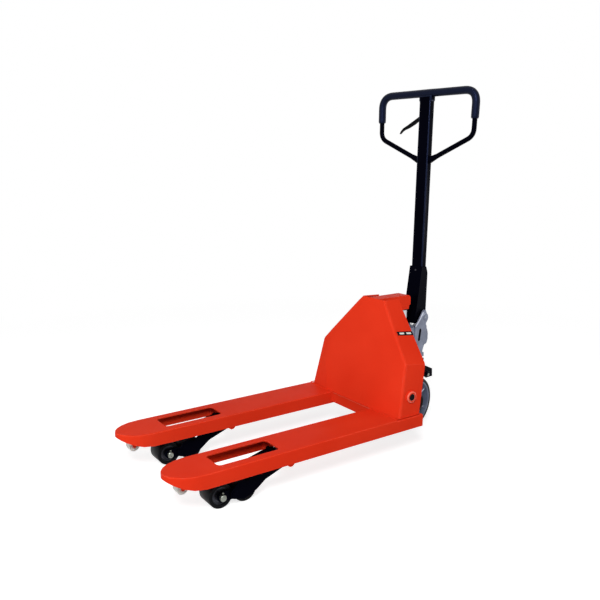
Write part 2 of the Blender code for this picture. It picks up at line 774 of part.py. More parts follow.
def make_bosses(chassis):
    """The side bosses that the rocker's shaft turns in, and the plugs that close them."""
    outside = head_half_width(ROCKER_Z) + BOSS_OUT
    bore = ROCKER_SHAFT_RADIUS + GAP
    for side, word in ((-1, "left"), (1, "right")):
        turn = (0, side * math.pi / 2, 0)
        place = (side * outside, ROCKER_Y, ROCKER_Z)
        turned(
            f"pivot_boss_{word}",
            [
                (BOSS_RADIUS - 0.002, 0.0),
                (BOSS_RADIUS, -0.002),
                (BOSS_RADIUS, -BOSS_LENGTH),
                (bore, -BOSS_LENGTH),
                (bore, 0.0),
            ],
            chassis,
            "chassis_paint",
            place,
            turn,
        )
        turned(
            f"boss_plug_{word}",
            [
                (ROCKER_SHAFT_RADIUS - 0.0015, 0.001),
                (ROCKER_SHAFT_RADIUS, -0.0005),
                (ROCKER_SHAFT_RADIUS, -PLUG_LENGTH),
                (0.0, -PLUG_LENGTH),
                (0.0, 0.001),
            ],
            chassis,
            "black_plastic",
            place,
            turn,
            16,
        )


def make_frame_pins(chassis):
    reach = FORK_WIDTH / 2 - FORK_SHEET - GAP
    for side, word in ((-1, "left"), (1, "right")):
        place = (side * FORK_CENTRE, FRAME_PIVOT_Y, FRAME_PIVOT_Z)
        piece(
            f"frame_pin_{word}",
            bar(FRAME_PIN_RADIUS, (-reach, 0, 0), (reach, 0, 0)),
            chassis,
            "plain_steel",
            place,
        )


def make_ram(chassis):
    """The piston rod, seated under the bracket's top and reaching down into the cylinder."""
    top = BRACKET_TOP_Z - BRACKET_SHEET - GAP
    shoulder = BRACKET_TOP_Z - BRACKET_HEIGHT - 0.002
    profile = [(0.0, top), (RAM_NECK_RADIUS - 0.003, top), (RAM_NECK_RADIUS, top - 0.003)]
    profile += [(RAM_NECK_RADIUS, shoulder), (RAM_RADIUS, shoulder - 0.004)]
    profile += [(RAM_RADIUS, RAM_FOOT_Z), (0.0, RAM_FOOT_Z)]
    turned("piston_rod", profile, chassis, "hard_chrome", (0, 0, 0), (0, 0, 0))


def wing_frame():
    """The origin and the directions along, down and out of the right upper wing's outer face."""
    rows = head_rows()
    top_front = Vector(rows[1][4])
    low_front, low_back = Vector(rows[2][4]), Vector(rows[2][5])
    along = (low_back - low_front).normalized()
    out = along.cross(low_front - top_front).normalized()
    if out.x < 0:
        out = -out
    down = out.cross(along).normalized()
    if down.z > 0:
        down = -down
    return top_front, along, down, out


def make_rating_plate(chassis):
    """A blank label on the right wing."""
    origin, along, down, out = wing_frame()
    centre = origin + down * PLATE_DOWN + along * PLATE_ALONG + out * (GAP + PLATE_SHEET / 2)
    turn = Matrix((along, -down, along.cross(-down))).transposed()
    half = (PLATE_LENGTH / 2, PLATE_HEIGHT / 2, PLATE_SHEET / 2)
    label = block([-v for v in half], half)
    piece("rating_plate", label, chassis, "black_plastic", centre, turn.to_euler())


def make_roller_frames(chassis):
    """The frames that swing down out of the forks, each with its links, axles and rollers."""
    for side, word in ((-1, "left"), (1, "right")):
        swing = axis(
            f"frame_{word}_axis",
            chassis,
            (side * FORK_CENTRE, FRAME_PIVOT_Y, FRAME_PIVOT_Z),
            (FRAME_ANGLE, 0, 0),
        )
        make_roller_frame(swing, word)
        level = axis(f"link_{word}_axis", swing, (0, -FRAME_ARM, 0), (-FRAME_ANGLE, 0, 0))
        make_links(level, word)
        for end, place in (("front", -ROLLER_SPACING / 2), ("rear", ROLLER_SPACING / 2)):
            spin = axis(f"roller_{word}_{end}_axis", level, (0, place, 0))
            make_load_roller(spin, f"{word}_{end}")


def make_roller_frame(swing, word):
    """Two side plates on a hub, with a spacer tube, the rod's lever and the link pins."""
    arm = FRAME_ARM
    outline = arc((-arm, 0), LINK_RADIUS, 125, 245, 4)
    outline += [
        (-arm + 0.010, 0.002 - FRAME_SKIRT * 0.8),
        (-arm + 0.022, -FRAME_SKIRT),
        (-arm + 0.052, -FRAME_SKIRT),
        (-arm + 0.075, 0.005 - FRAME_SKIRT),
        (-arm + 0.110, -LINK_RADIUS),
    ]
    outline += arc((0, 0), FRAME_HUB_RADIUS, -95, 70, 5)
    outline += [
        (-0.035, FRAME_EDGE - 0.004),
        (-arm + 0.0950, FRAME_EDGE + 0.001),
        (-arm + 0.0770, FRAME_EDGE - 0.003),
        (-arm + 0.0540, FRAME_NOTCH),
        (-arm + 0.0390, FRAME_BULGE - 0.001),
        (-arm + 0.0224, FRAME_BULGE),
    ]
    x = FRAME_INNER + FRAME_SHEET / 2
    frame = piece(
        f"roller_frame_{word}",
        shifted(plate(outline, FRAME_SHEET), (x, 0, 0)),
        swing,
        "black_paint",
    )
    join(frame, shifted(plate(outline, FRAME_SHEET), (-x, 0, 0)))
    join(frame, bar(FRAME_HUB_RADIUS - 0.001, (-x, 0, 0), (x, 0, 0)))
    spacer_y = -arm + ROLLER_SPACING / 2 + ROLLER_RADIUS + 0.022
    join(frame, bar(SPACER_RADIUS, (-x, spacer_y, 0), (x, spacer_y, 0), 12))
    lever = (FRAME_LEVER * math.sin(FRAME_ANGLE), FRAME_LEVER * math.cos(FRAME_ANGLE))
    clevis_x = ROD_THICKNESS / 2 + RUNNING_GAP + CLEVIS_SHEET / 2
    for edge in (-1, 1):
        clevis = plate(capsule((0, 0), lever, CLEVIS_RADIUS, 4), CLEVIS_SHEET)
        join(frame, shifted(clevis, (edge * clevis_x, 0, 0)))
    join(frame, bar(EYE_PIN_RADIUS, (-clevis_x, *lever), (clevis_x, *lever), 12))
    outer = FRAME_INNER + FRAME_SHEET
    for edge in (-1, 1):
        inside = (edge * LINK_INNER, -arm, 0)
        outside = (edge * (outer + LINK_PIN_HEAD), -arm, 0)
        join(frame, bar(LINK_PIN_HEAD_RADIUS, (edge * (outer - 0.0015), -arm, 0), outside))
        join(frame, bar(LINK_PIN_RADIUS, inside, (edge * x, -arm, 0), 14))
    beyond = outer + 0.01
    cut(frame, bar(FRAME_PIN_RADIUS + GAP, (-beyond, 0, 0), (beyond, 0, 0)))


def make_links(level, word):
    """A link plate on each side of the two rollers, and the two axles that cross them."""
    half = ROLLER_SPACING / 2
    outline = capsule((-half, 0), (half, 0), LINK_RADIUS)
    holes = [circle((-half, 0), AXLE_RADIUS + GAP, 16), circle((half, 0), AXLE_RADIUS + GAP, 16)]
    holes.append(circle((0, 0), LINK_PIN_RADIUS + GAP, 14))
    x = LINK_INNER + LINK_SHEET / 2
    sides = ("inner", "outer") if word == "right" else ("outer", "inner")
    for edge, where in zip((-1, 1), sides):
        mesh = shifted(plate(outline, LINK_SHEET, holes), (edge * x, 0, 0))
        piece(f"roller_link_{word}_{where}", mesh, level, "black_paint")
    end = LINK_INNER + LINK_SHEET + GAP
    head_end = end + AXLE_HEAD_LENGTH
    front = piece(
        f"roller_axle_{word}_front",
        bar(AXLE_RADIUS, (-end - 0.002, 0, 0), (end + 0.002, 0, 0)),
        level,
        "bright_zinc",
        (0, -half, 0),
    )
    for edge in (-1, 1):
        join(front, bar(AXLE_HEAD_RADIUS, (edge * end, 0, 0), (edge * head_end, 0, 0)))
    piece(
        f"roller_axle_{word}_rear",
        bar(AXLE_RADIUS, (-end + GAP, 0, 0), (end - GAP, 0, 0)),
        level,
        "bright_zinc",
        (0, half, 0),
    )


def make_load_roller(spin, word):
    half = ROLLER_WIDTH / 2
    inner = ROLLER_RADIUS - ROLLER_TREAD
    face = half - ROLLER_RECESS
    bore = AXLE_RADIUS + GAP
    turn = (0, math.pi / 2, 0)
    tread = [(ROLLER_RADIUS, half), (ROLLER_RADIUS, -half), (inner + GAP, -half), (inner + GAP, half)]
    turned(f"roller_tread_{word}", tread, spin, "black_tread", (0, 0, 0), turn, 28)
    hub = [(inner, face), (inner, -face), (bore, -face), (bore, face)]
    turned(f"roller_hub_{word}", hub, spin, "plain_steel", (0, 0, 0), turn, 28)


def make_entry_rollers(chassis):
    half = ENTRY_WIDTH / 2
    bore = ENTRY_AXLE_RADIUS + GAP
    for side, word in ((-1, "left"), (1, "right")):
        place = (side * FORK_CENTRE, FORK_TIP_Y + ENTRY_SETBACK, ENTRY_AXLE_Z)
        spin = axis(f"entry_{word}_axis", chassis, place)
        turned(
            f"entry_roller_{word}",
            [
                (ENTRY_RADIUS - 0.003, half),
                (ENTRY_RADIUS, half - 0.003),
                (ENTRY_RADIUS, -half + 0.003),
                (ENTRY_RADIUS - 0.003, -half),
                (bore, -half),
                (bore, half),
            ],
            spin,
            "white_nylon",
            (0, 0, 0),
            (0, math.pi / 2, 0),
            20,
        )


def make_push_rods(chassis):
    """The cranked flat bars that join the rocker to the roller frames."""
    pin_y, pin_z = ROCKER_Y, ROCKER_Z - ROCKER_LEVER
    for side, word in ((-1, "left"), (1, "right")):
        mover = axis(f"push_rod_{word}_axis", chassis, (side * FORK_CENTRE, FRAME_PIVOT_Y, ROD_Z))
        dy, dz = -FRAME_PIVOT_Y, -ROD_Z
        crank = ROD_CRANK_Y + dy
        rear = (pin_y + dy, pin_z + dz)
        heading = Vector((rear[0] - crank, rear[1])).normalized()
        side_step = Vector((-heading.y, heading.x)) * ROD_HALF_HEIGHT
        mitre = ROD_HALF_HEIGHT * math.tan(math.atan2(heading.y, heading.x) / 2)
        outline = [(EYE_RADIUS * 0.72, -ROD_HALF_HEIGHT), (crank + mitre, -ROD_HALF_HEIGHT)]
        outline += [(rear[0] - side_step.x, rear[1] - side_step.y)]
        outline += [(rear[0] + side_step.x, rear[1] + side_step.y)]
        outline += [(crank - mitre, ROD_HALF_HEIGHT), (EYE_RADIUS * 0.72, ROD_HALF_HEIGHT)]
        rod = piece(f"push_rod_{word}", plate(outline, ROD_THICKNESS), mover, "plain_steel")
        for eye in ((0, 0), rear):
            join(rod, plate(circle(eye, EYE_RADIUS, 16), ROD_THICKNESS))
        for eye in ((0, 0), rear):
            start = (-ROD_THICKNESS, *eye)
            end = (ROD_THICKNESS, *eye)
            cut(rod, bar(EYE_PIN_RADIUS + LOOSE_HOLE, start, end, 12))


def make_rocker(chassis):
    """The shaft across the chassis, with two arms to the thrust plate and a lever over each fork."""
    swing = axis("rocker_axis", chassis, (0, ROCKER_Y, ROCKER_Z), (ROCKER_ANGLE, 0, 0))
    reach = head_half_width(ROCKER_Z) + BOSS_OUT - PLUG_LENGTH - RUNNING_GAP
    shaft = bar(ROCKER_SHAFT_RADIUS, (-reach, 0, 0), (reach, 0, 0), 20)
    rocker = piece("rocker", shaft, swing, "black_paint")
    lever_x = FORK_CENTRE - ROD_THICKNESS / 2 - RUNNING_GAP - CLEVIS_SHEET
    join(rocker, bar(ROCKER_TUBE_RADIUS, (-lever_x, 0, 0), (lever_x, 0, 0), 20))
    slot_half = THRUST_PIN_RADIUS + ROCKER_SLOT_PLAY
    start = ROCKER_ARM - 0.003
    end = ROCKER_ARM + ROCKER_SLOT_END
    arm = plate(
        capsule((0, 0), (end, 0), ROCKER_ARM_HALF + 0.001),
        ROCKER_ARM_SHEET,
        [capsule((start, 0), (end, 0), slot_half)],
    )
    for edge in (-1, 1):
        join(rocker, shifted(arm.copy(), (edge * (ROCKER_ARM_X + ROCKER_ARM_SHEET / 2), 0, 0)))
    lever = (-ROCKER_LEVER * math.sin(ROCKER_ANGLE), -ROCKER_LEVER * math.cos(ROCKER_ANGLE))
    cheek = plate(capsule((0, 0), lever, CLEVIS_RADIUS, 4), CLEVIS_SHEET)
    offset = ROD_THICKNESS / 2 + RUNNING_GAP + CLEVIS_SHEET / 2
    for side in (-1, 1):
        for edge in (-1, 1):
            join(rocker, shifted(cheek.copy(), (side * FORK_CENTRE + edge * offset, 0, 0)))
        inner = side * FORK_CENTRE - offset
        outer = side * FORK_CENTRE + offset
        join(rocker, bar(EYE_PIN_RADIUS, (inner, *lever), (outer, *lever), 12))


def make_thrust_plate(carriage):
    """The plate that doesn't steer. It carries the pump and hangs in the rocker's arms."""
    top = THRUST_Z + THRUST_SHEET
    disc = bar(THRUST_RADIUS, (0, 0, THRUST_Z), (0, 0, top), 24)
    thrust = piece("thrust_plate", disc, carriage, "black_paint")
    wide = THRUST_EAR_HALF
    join(
        thrust,
        block(
            (-wide, THRUST_PIN_Y - THRUST_EAR_RADIUS, THRUST_Z),
            (wide, THRUST_PIN_Y + THRUST_EAR_RADIUS, top),
        ),
    )
    ear = plate(
        capsule(
            (THRUST_PIN_Y, THRUST_Z + THRUST_EAR_RADIUS),
            (THRUST_PIN_Y, THRUST_PIN_Z),
            THRUST_EAR_RADIUS,
        ),
        THRUST_EAR_SHEET,
    )
    for edge in (-1, 1):
        x = edge * (wide - THRUST_EAR_SHEET / 2)
        join(thrust, shifted(ear.copy(), (x, 0, 0)))
        tip = edge * (ROCKER_ARM_X + ROCKER_ARM_SHEET + 0.001)
        start = (x, THRUST_PIN_Y, THRUST_PIN_Z)
        join(thrust, bar(THRUST_PIN_RADIUS, start, (tip, THRUST_PIN_Y, THRUST_PIN_Z), 12))
    cut(thrust, bar(NECK_RADIUS + RUNNING_GAP, (0, 0, THRUST_Z - 0.01), (0, 0, top + 0.03), 24))


def ear_outline():
    """The side of a pump ear: a pointed top round the tiller's pin, down to the plunger's housing."""
    y, z = TILLER_OFFSET, TILLER_PIVOT_Z
    outline = [(0.020, WEB_BOTTOM_Z + 0.012), (0.026, 0.340), (0.030, z - 0.036), (0.038, z - 0.030)]
    outline += [(y - 0.004, z + 0.031), (y + 0.002, z + 0.031)]
    outline += arc((y + 0.001, z - 0.002), 0.020, 62, -28, 4)
    outline += [(y + 0.007, z - 0.024), (y + 0.006, z - 0.040), (y + 0.017, z - 0.052)]
    outline += [(y + 0.022, z - 0.069), (y + 0.021, z - 0.093), (y + 0.014, z - 0.108)]
    outline += [(y - 0.002, z - 0.112), (y - 0.008, z - 0.123), (y - 0.013, z - 0.134)]
    outline += [(y - 0.013, WEB_BOTTOM_Z + 0.012)]
    return outline


def make_pump(steering):
    body = piece(
        "pump_body",
        bar(PUMP_RADIUS, (0, 0, PUMP_BASE_Z), (0, 0, PUMP_TOP_Z), 28),
        steering,
        "cast_grey",
    )
    join(body, block((-WEB_HALF, 0, WEB_BOTTOM_Z), (WEB_HALF, WEB_REACH, WEB_TOP_Z)))
    neck = STEM_RADIUS - 0.002
    join(body, block((-neck, TILLER_OFFSET, WEB_BOTTOM_Z + 0.002), (neck, PLUNGER_Y, WEB_TOP_Z - 0.002)))
    join(
        body,
        bar(STEM_RADIUS, (0, PLUNGER_Y, WEB_BOTTOM_Z), (0, PLUNGER_Y, SEAT_FOOT_Z + 0.001), 20),
        bar(STEM_RADIUS - 0.001, (0, PLUNGER_Y, SEAT_FOOT_Z), (0, PLUNGER_Y, SEAT_TOP_Z), 20, SEAT_RADIUS),
    )
    pin_hole = circle((TILLER_OFFSET, TILLER_PIVOT_Z), TILLER_PIN_RADIUS + GAP, 16)
    slot_y, slot_z = TILLER_OFFSET - EAR_SLOT_BACK, TILLER_PIVOT_Z - EAR_SLOT_DROP
    slot_top = (slot_y + EAR_SLOT_LEAN, slot_z + EAR_SLOT_RISE)
    slot = capsule((slot_y, slot_z), slot_top, EAR_SLOT_RADIUS)
    ear = plate(ear_outline(), EAR_SHEET, [pin_hole, slot])
    for edge in (-1, 1):
        join(body, shifted(ear.copy(), (edge * (EAR_INNER + EAR_SHEET / 2), 0, 0)))
    for edge in (-1, 1):
        low = (edge * (WEB_HALF - 0.001), 0.010, CHEEK_BOTTOM_Z)
        high = (edge * (EAR_INNER + EAR_SHEET - 0.002), TILLER_OFFSET, WEB_TOP_Z)
        low, high = [min(a, b) for a, b in zip(low, high)], [max(a, b) for a, b in zip(low, high)]
        join(body, block(low, high))
    cut(body, bar(RAM_RADIUS + GAP, (0, 0, PUMP_BASE_Z + 0.0035), (0, 0, PUMP_TOP_Z + 0.02), 24))
    below, above = (0, PLUNGER_Y, WEB_BOTTOM_Z - 0.01), (0, PLUNGER_Y, SEAT_TOP_Z + 0.01)
    cut(body, bar(PLUNGER_ROD_RADIUS + GAP, below, above, 16))
    chain_y = TILLER_OFFSET - RELEASE_BACK
    foot = (RELEASE_X, chain_y, WEB_BOTTOM_Z - 0.01)
    cut(body, bar(RELEASE_ROD_RADIUS + 0.002, foot, (RELEASE_X, chain_y, WEB_TOP_Z + 0.01), 10))
    gland_top = PUMP_TOP_Z + GLAND_HEIGHT
    turned(
        "gland_nut",
        [
            (GLAND_RADIUS - 0.002, gland_top),
            (GLAND_RADIUS, gland_top - 0.002),
            (GLAND_RADIUS, PUMP_TOP_Z + GAP),
            (RAM_RADIUS + GAP, PUMP_TOP_Z + GAP),
            (RAM_RADIUS + GAP, gland_top),
        ],
        steering,
        "plain_steel",
        (0, 0, 0),
        (0, 0, 0),
    )


def make_plunger(steering):
    """The spring cap and its rod, which the tiller's cam pushes down, and the spring inside the cap."""
    mover = axis("plunger_axis", steering, (0, PLUNGER_Y, PLUNGER_TOP_Z))
    wall = PLUNGER_CAP_RADIUS - PLUNGER_CAP_WALL
    profile = [
        (0.0, PLUNGER_POST_HEIGHT),
        (PLUNGER_POST_RADIUS, PLUNGER_POST_HEIGHT),
        (PLUNGER_POST_RADIUS, 0.0),
        (PLUNGER_CAP_RADIUS - 0.003, 0.0),
        (PLUNGER_CAP_RADIUS, -0.003),
        (PLUNGER_CAP_RADIUS, -PLUNGER_CAP_HEIGHT),
        (wall, -PLUNGER_CAP_HEIGHT),
        (wall, -PLUNGER_CAP_WALL),
        (PLUNGER_ROD_RADIUS, -PLUNGER_CAP_WALL),
        (PLUNGER_ROD_RADIUS, -PLUNGER_ROD_LENGTH),
        (0.0, -PLUNGER_ROD_LENGTH),
    ]
    turned("plunger_cap", profile, mover, "cast_grey", (0, 0, 0), (0, 0, 0))
    foot = SEAT_TOP_Z + GAP + SPRING_WIRE / 2
    head = PLUNGER_TOP_Z - PLUNGER_CAP_WALL - GAP - SPRING_WIRE / 2
    steps = SPRING_TURNS * 10
    points = []
    for i in range(steps + 1):
        turn = math.tau * i / 10
        rise = foot + (head - foot) * i / steps
        points.append((SPRING_RADIUS * math.cos(turn), SPRING_RADIUS * math.sin(turn), rise))
    piece("plunger_spring", tube(points, SPRING_WIRE / 2, 1), steering, "spring_steel", (0, PLUNGER_Y, 0))


def make_carrier(steering):
    """The casting between the steering wheels, and its axle."""
    top = PUMP_BASE_Z - GAP
    half = (WHEEL_TRACK - WHEEL_WIDTH) / 2 - 0.0015
    neck = bar(NECK_RADIUS, (0, 0, WHEEL_RADIUS + 0.02), (0, 0, top), 24)
    carrier = piece("wheel_carrier", neck, steering, "cast_grey")
    join(
        carrier,
        bar(CARRIER_BOSS_RADIUS, (-half, 0, WHEEL_RADIUS), (half, 0, WHEEL_RADIUS), 20),
        block((-CARRIER_WEB, -CARRIER_WEB, WHEEL_RADIUS), (CARRIER_WEB, CARRIER_WEB, WHEEL_RADIUS + 0.06)),
    )
    start, end = (-half - 0.01, 0, WHEEL_RADIUS), (half + 0.01, 0, WHEEL_RADIUS)
    cut(carrier, bar(WHEEL_AXLE_RADIUS + GAP, start, end, 20))
    reach = (WHEEL_TRACK + WHEEL_WIDTH) / 2 - WHEEL_DISH - GAP
    piece(
        "wheel_axle",
        bar(WHEEL_AXLE_RADIUS, (-reach, 0, 0), (reach, 0, 0), 20),
        steering,
        "plain_steel",
        (0, 0, WHEEL_RADIUS),
    )


def make_wheels(steering):
    half = WHEEL_WIDTH / 2
    inner = WHEEL_RADIUS - WHEEL_TREAD
    bore = WHEEL_AXLE_RADIUS + GAP
    face = half - WHEEL_DISH
    for side, word in ((-1, "left"), (1, "right")):
        spin = axis(f"wheel_{word}_axis", steering, (side * WHEEL_TRACK / 2, 0, WHEEL_RADIUS))
        turn = (0, side * math.pi / 2, 0)
        tread = [
            (WHEEL_RADIUS - 0.003, half),
            (WHEEL_RADIUS, half - 0.004),
            (WHEEL_RADIUS, -half + 0.004),
            (WHEEL_RADIUS - 0.003, -half),
            (inner + GAP, -half),
            (inner + GAP, half),
        ]
        turned(f"wheel_tread_{word}", tread, spin, "black_tread", (0, 0, 0), turn, 36)
        rim = [
            (inner, half),
            (inner, -half),
            (inner - 0.008, -half),
            (inner - 0.009, -face),
            (bore, -face),
            (bore, face),
            (inner - 0.009, face),
            (inner - 0.008, half),
        ]
        turned(f"wheel_rim_{word}", rim, spin, "rim_grey", (0, 0, 0), turn, 36)
        cap = [
            (0.0, face + HUB_CAP_LENGTH),
            (HUB_CAP_RADIUS - 0.004, face + HUB_CAP_LENGTH),
            (HUB_CAP_RADIUS, face + GAP),
            (0.0, face + GAP),
        ]
        turned(f"hub_cap_{word}", cap, spin, "black_plastic", (0, 0, 0), turn, 20)


def make_valve_gear(steering):
    """The black bracket behind the wheels with the lever that the release chain pulls."""
    y, z = VALVE_PIVOT_Y, VALVE_PIVOT_Z
    top = WEB_BOTTOM_Z - GAP
    back = TILLER_OFFSET + 0.002
    arm = back - VALVE_ARM_DEPTH
    below = z - VALVE_NOSE_BELOW
    outline = [(arm, top), (arm, z + VALVE_KNEE), (y - VALVE_KNEE + 0.003, z - 0.004)]
    outline += [(y - 0.007, below + 0.002)]
    outline += [(y + VALVE_NOSE_REACH, below), (y + VALVE_NOSE_REACH - 0.002, z + VALVE_NOSE_ABOVE)]
    outline += [(back, z + VALVE_KNEE + VALVE_NOSE_ABOVE), (back, top)]
    side_x = VALVE_BRACKET_HALF - VALVE_BRACKET_SHEET / 2
    bracket = piece(
        "valve_bracket",
        shifted(plate(outline, VALVE_BRACKET_SHEET), (side_x, 0, 0)),
        steering,
        "black_paint",
    )
    join(bracket, shifted(plate(outline, VALVE_BRACKET_SHEET), (-side_x, 0, 0)))
    strap = TILLER_OFFSET - RELEASE_BACK + RELEASE_ROD_RADIUS + 0.002
    join(bracket, block((-side_x, strap, top - VALVE_BRACKET_SHEET), (side_x, back, top)))
    join(bracket, bar(VALVE_BOLT_RADIUS, (-side_x, y, z), (side_x, y, z), 12))
    for edge in (-1, 1):
        start = (edge * (VALVE_BRACKET_HALF - 0.001), y, z)
        head = (edge * (VALVE_BRACKET_HALF + VALVE_BOLT_HEAD_LENGTH), y, z)
        join(bracket, bar(VALVE_BOLT_HEAD, start, head, 6))
    swing = axis("valve_lever_axis", steering, (0, y, z))
    chain_y = TILLER_OFFSET - RELEASE_BACK - y
    chain_z = CHAIN_FOOT_Z - z - 0.007
    finger = [(chain_y - 0.006, chain_z - 0.005), (chain_y + 0.010, chain_z - 0.005), (-0.014, -0.009)]
    finger += arc((0, 0), 0.010, -100, 100, 5)
    finger += [(-0.014, 0.004), (chain_y + 0.008, chain_z + 0.002), (chain_y - 0.006, chain_z + 0.002)]
    lever = piece(
        "valve_lever",
        shifted(plate(finger, VALVE_LEVER_SHEET), (RELEASE_X, 0, 0)),
        swing,
        "black_paint",
    )
    width = VALVE_LEVER_HALF
    join(lever, bar(VALVE_HUB_RADIUS, (-width, 0, 0), (width, 0, 0), 14))
    pedal = [(0.004, -0.004), (0.030, -0.006), (0.030, -0.001), (0.004, 0.004)]
    join(lever, plate(pedal, 2 * width - 0.006))
    cut(lever, bar(VALVE_BOLT_RADIUS + GAP, (-width - 0.01, 0, 0), (width + 0.01, 0, 0), 12))


def make_chain(steering):
    """The release chain below the tiller's pin, drawn as its outer rod."""
    top = TILLER_PIVOT_Z - RUNNING_GAP
    mover = axis("release_chain_axis", steering, (RELEASE_X, TILLER_OFFSET - RELEASE_BACK, top))
    foot = CHAIN_FOOT_Z - top
    link = bar(RELEASE_ROD_RADIUS, (0, 0, foot), (0, 0, 0), 12)
    chain = piece("release_chain", link, mover, "bright_zinc")
    join(chain, bar(0.0045, (0, 0, foot), (0, 0, foot + 0.008), 12))


def make_tiller_pin(steering):
    reach = EAR_INNER + EAR_SHEET + 0.002
    piece(
        "tiller_pin",
        bar(TILLER_PIN_RADIUS, (-reach, 0, 0), (reach, 0, 0)),
        steering,
        "bright_zinc",
        (0, TILLER_OFFSET, TILLER_PIVOT_Z),
    )


def make_tiller(steering):
    tilt = axis("tiller_axis", steering, (0, TILLER_OFFSET, TILLER_PIVOT_Z), (-TILLER_LEAN, 0, 0))
    make_sleeve(tilt)
    make_tiller_tube(tilt)
    make_handle(tilt)
    make_lever(tilt)


def make_sleeve(tilt):
    """The tapered channel at the tiller's foot: wide cheeks, a sloping front and a narrow lip behind."""
    front_top = TILLER_DEPTH / 2 + SLEEVE_SHEET + GAP
    outline = [(-SLEEVE_FOOT_FRONT, -SLEEVE_FOOT), (SLEEVE_BACK, -SLEEVE_FOOT)]
    outline += [(SLEEVE_BACK, SLEEVE_HEIGHT - 0.028), (front_top * 0.9, SLEEVE_HEIGHT - 0.016)]
    outline += [(front_top * 0.5, SLEEVE_HEIGHT), (-front_top, SLEEVE_HEIGHT)]
    half = TILLER_WIDTH / 2 + GAP
    sleeve = piece("tiller_sleeve", plate(outline, 2 * (half + SLEEVE_SHEET)), tilt, "black_paint")
    slope = (SLEEVE_FOOT_FRONT - front_top) / (SLEEVE_FOOT + SLEEVE_HEIGHT)
    wall = SLEEVE_SHEET * 1.02
    low = -SLEEVE_FOOT - 0.01
    high = SLEEVE_HEIGHT + 0.01
    hollow = [
        (-SLEEVE_FOOT_FRONT + wall - slope * 0.01, low),
        (SLEEVE_BACK + 0.02, low),
        (SLEEVE_BACK + 0.02, high),
        (-front_top + wall + slope * 0.01, high),
    ]
    cut(sleeve, plate(hollow, 2 * half))
    add_cam(sleeve)
    cut(sleeve, bar(TILLER_PIN_RADIUS + GAP, (-0.06, 0, 0), (0.06, 0, 0)))


def cam_outline():
    """The cam's lobe, an involute that moves a flat plunger down in step with the tiller's angle."""
    rate = CAM_RATE
    lobe = []
    steps = 11
    start = TILLER_LEAN
    for i in range(steps + 1):
        turn = start + (TILLER_RANGE + math.radians(4)) * i / steps
        reach = CAM_CONTACT + rate * (turn - start)
        y = reach * math.sin(turn) + rate * math.cos(turn)
        z = -reach * math.cos(turn) + rate * math.sin(turn)
        lobe.append((y, z))
    return [(-0.012, -CAM_CONTACT * 0.9)] + lobe + [(0.020, 0.024), (0.008, 0.028), (-0.012, 0.028)]


def add_cam(sleeve):
    """The cam, welded to one cheek of the sleeve by a hub, clear of the release rod."""
    join(sleeve, plate(cam_outline(), 2 * CAM_HALF))
    outer = TILLER_WIDTH / 2 + GAP + 0.001
    join(sleeve, bar(CAM_HUB_RADIUS, (CAM_HALF - 0.001, 0, 0), (outer, 0, 0)))


def make_tiller_tube(tilt):
    """The rectangular tube from the sleeve to the bar, with a saddle that holds the bar."""
    half = TILLER_WIDTH / 2
    depth = TILLER_DEPTH / 2
    top = HANDLE_HEIGHT - LOOP_TUBE_RADIUS + 0.001
    tube_piece = piece(
        "tiller_tube",
        block((-half, -depth, TILLER_FOOT), (half, depth, top), 0.004, upright_only=True),
        tilt,
        "black_paint",
    )
    inner = half - TILLER_WALL
    deep = depth - TILLER_WALL
    cut(tube_piece, block((-inner, -deep, TILLER_FOOT - 0.01), (inner, deep, top - 0.012)))
    pivot = HANDLE_HEIGHT - LEVER_DROP
    slot = LEVER_SHEET / 2 + 0.001
    cut(
        tube_piece,
        block(
            (-half - 0.01, -slot, pivot - LEVER_SLOT_BOTTOM),
            (-inner + 0.002, slot, pivot + LEVER_SLOT_TOP),
        ),
    )
    start, end = (LEVER_PIVOT_X, -depth - 0.0015, pivot), (LEVER_PIVOT_X, depth + 0.0015, pivot)
    pin = bar(LEVER_PIN_RADIUS, start, end, 10)
    join(tube_piece, pin)
    bar_z = HANDLE_HEIGHT
    join(tube_piece, bar(SADDLE_RADIUS, (-SADDLE_HALF, 0, bar_z), (SADDLE_HALF, 0, bar_z), 20))
    reach = SADDLE_HALF + 0.01
    cut(tube_piece, bar(LOOP_TUBE_RADIUS + GAP, (-reach, 0, bar_z), (reach, 0, bar_z), 20))


def loop_path(tilt_side):
    """Half of the handle loop's centre line, from the bar's middle to its weld on the tiller."""
    knee = HANDLE_HEIGHT - LOOP_KNEE_DROP
    join_z = HANDLE_HEIGHT - LOOP_JOIN_DROP
    corners = [
        (0.0, 0, HANDLE_HEIGHT),
        (tilt_side * LOOP_HALF, 0, HANDLE_HEIGHT),
        (tilt_side * (LOOP_HALF - 0.003), 0, knee),
        (tilt_side * (TILLER_WIDTH / 2 + 0.0045), 0, join_z),
    ]
    return rounded_path(corners, (LOOP_CORNER, LOOP_KNEE_RADIUS))


def make_handle(tilt):
    right = loop_path(1)
    left = loop_path(-1)
    path = list(reversed(left)) + right[1:]
    piece("handle_loop", tube(path, LOOP_TUBE_RADIUS), tilt, "black_paint")
    for side, word in ((-1, "left"), (1, "right")):
        grip_path = []
        for point in loop_path(side):
            if point.z > HANDLE_HEIGHT - GRIP_DROP + 0.006 and abs(point.x) > 0.001:
                grip_path.append(point)
        start = Vector((side * (SADDLE_HALF + GAP), 0, HANDLE_HEIGHT))
        end = Vector((side * (LOOP_HALF - 0.002), 0, HANDLE_HEIGHT - GRIP_DROP))
        grip = piece(f"grip_{word}", tube([start, *grip_path, end], GRIP_RADIUS), tilt, "grip_coating")
        before, after = start - Vector((side * 0.01, 0, 0)), end - Vector((side * 0.0003, 0, 0.02))
        bore_path = [before, *grip_path, end, after]
        cut(grip, tube(bore_path, LOOP_TUBE_RADIUS + GAP))


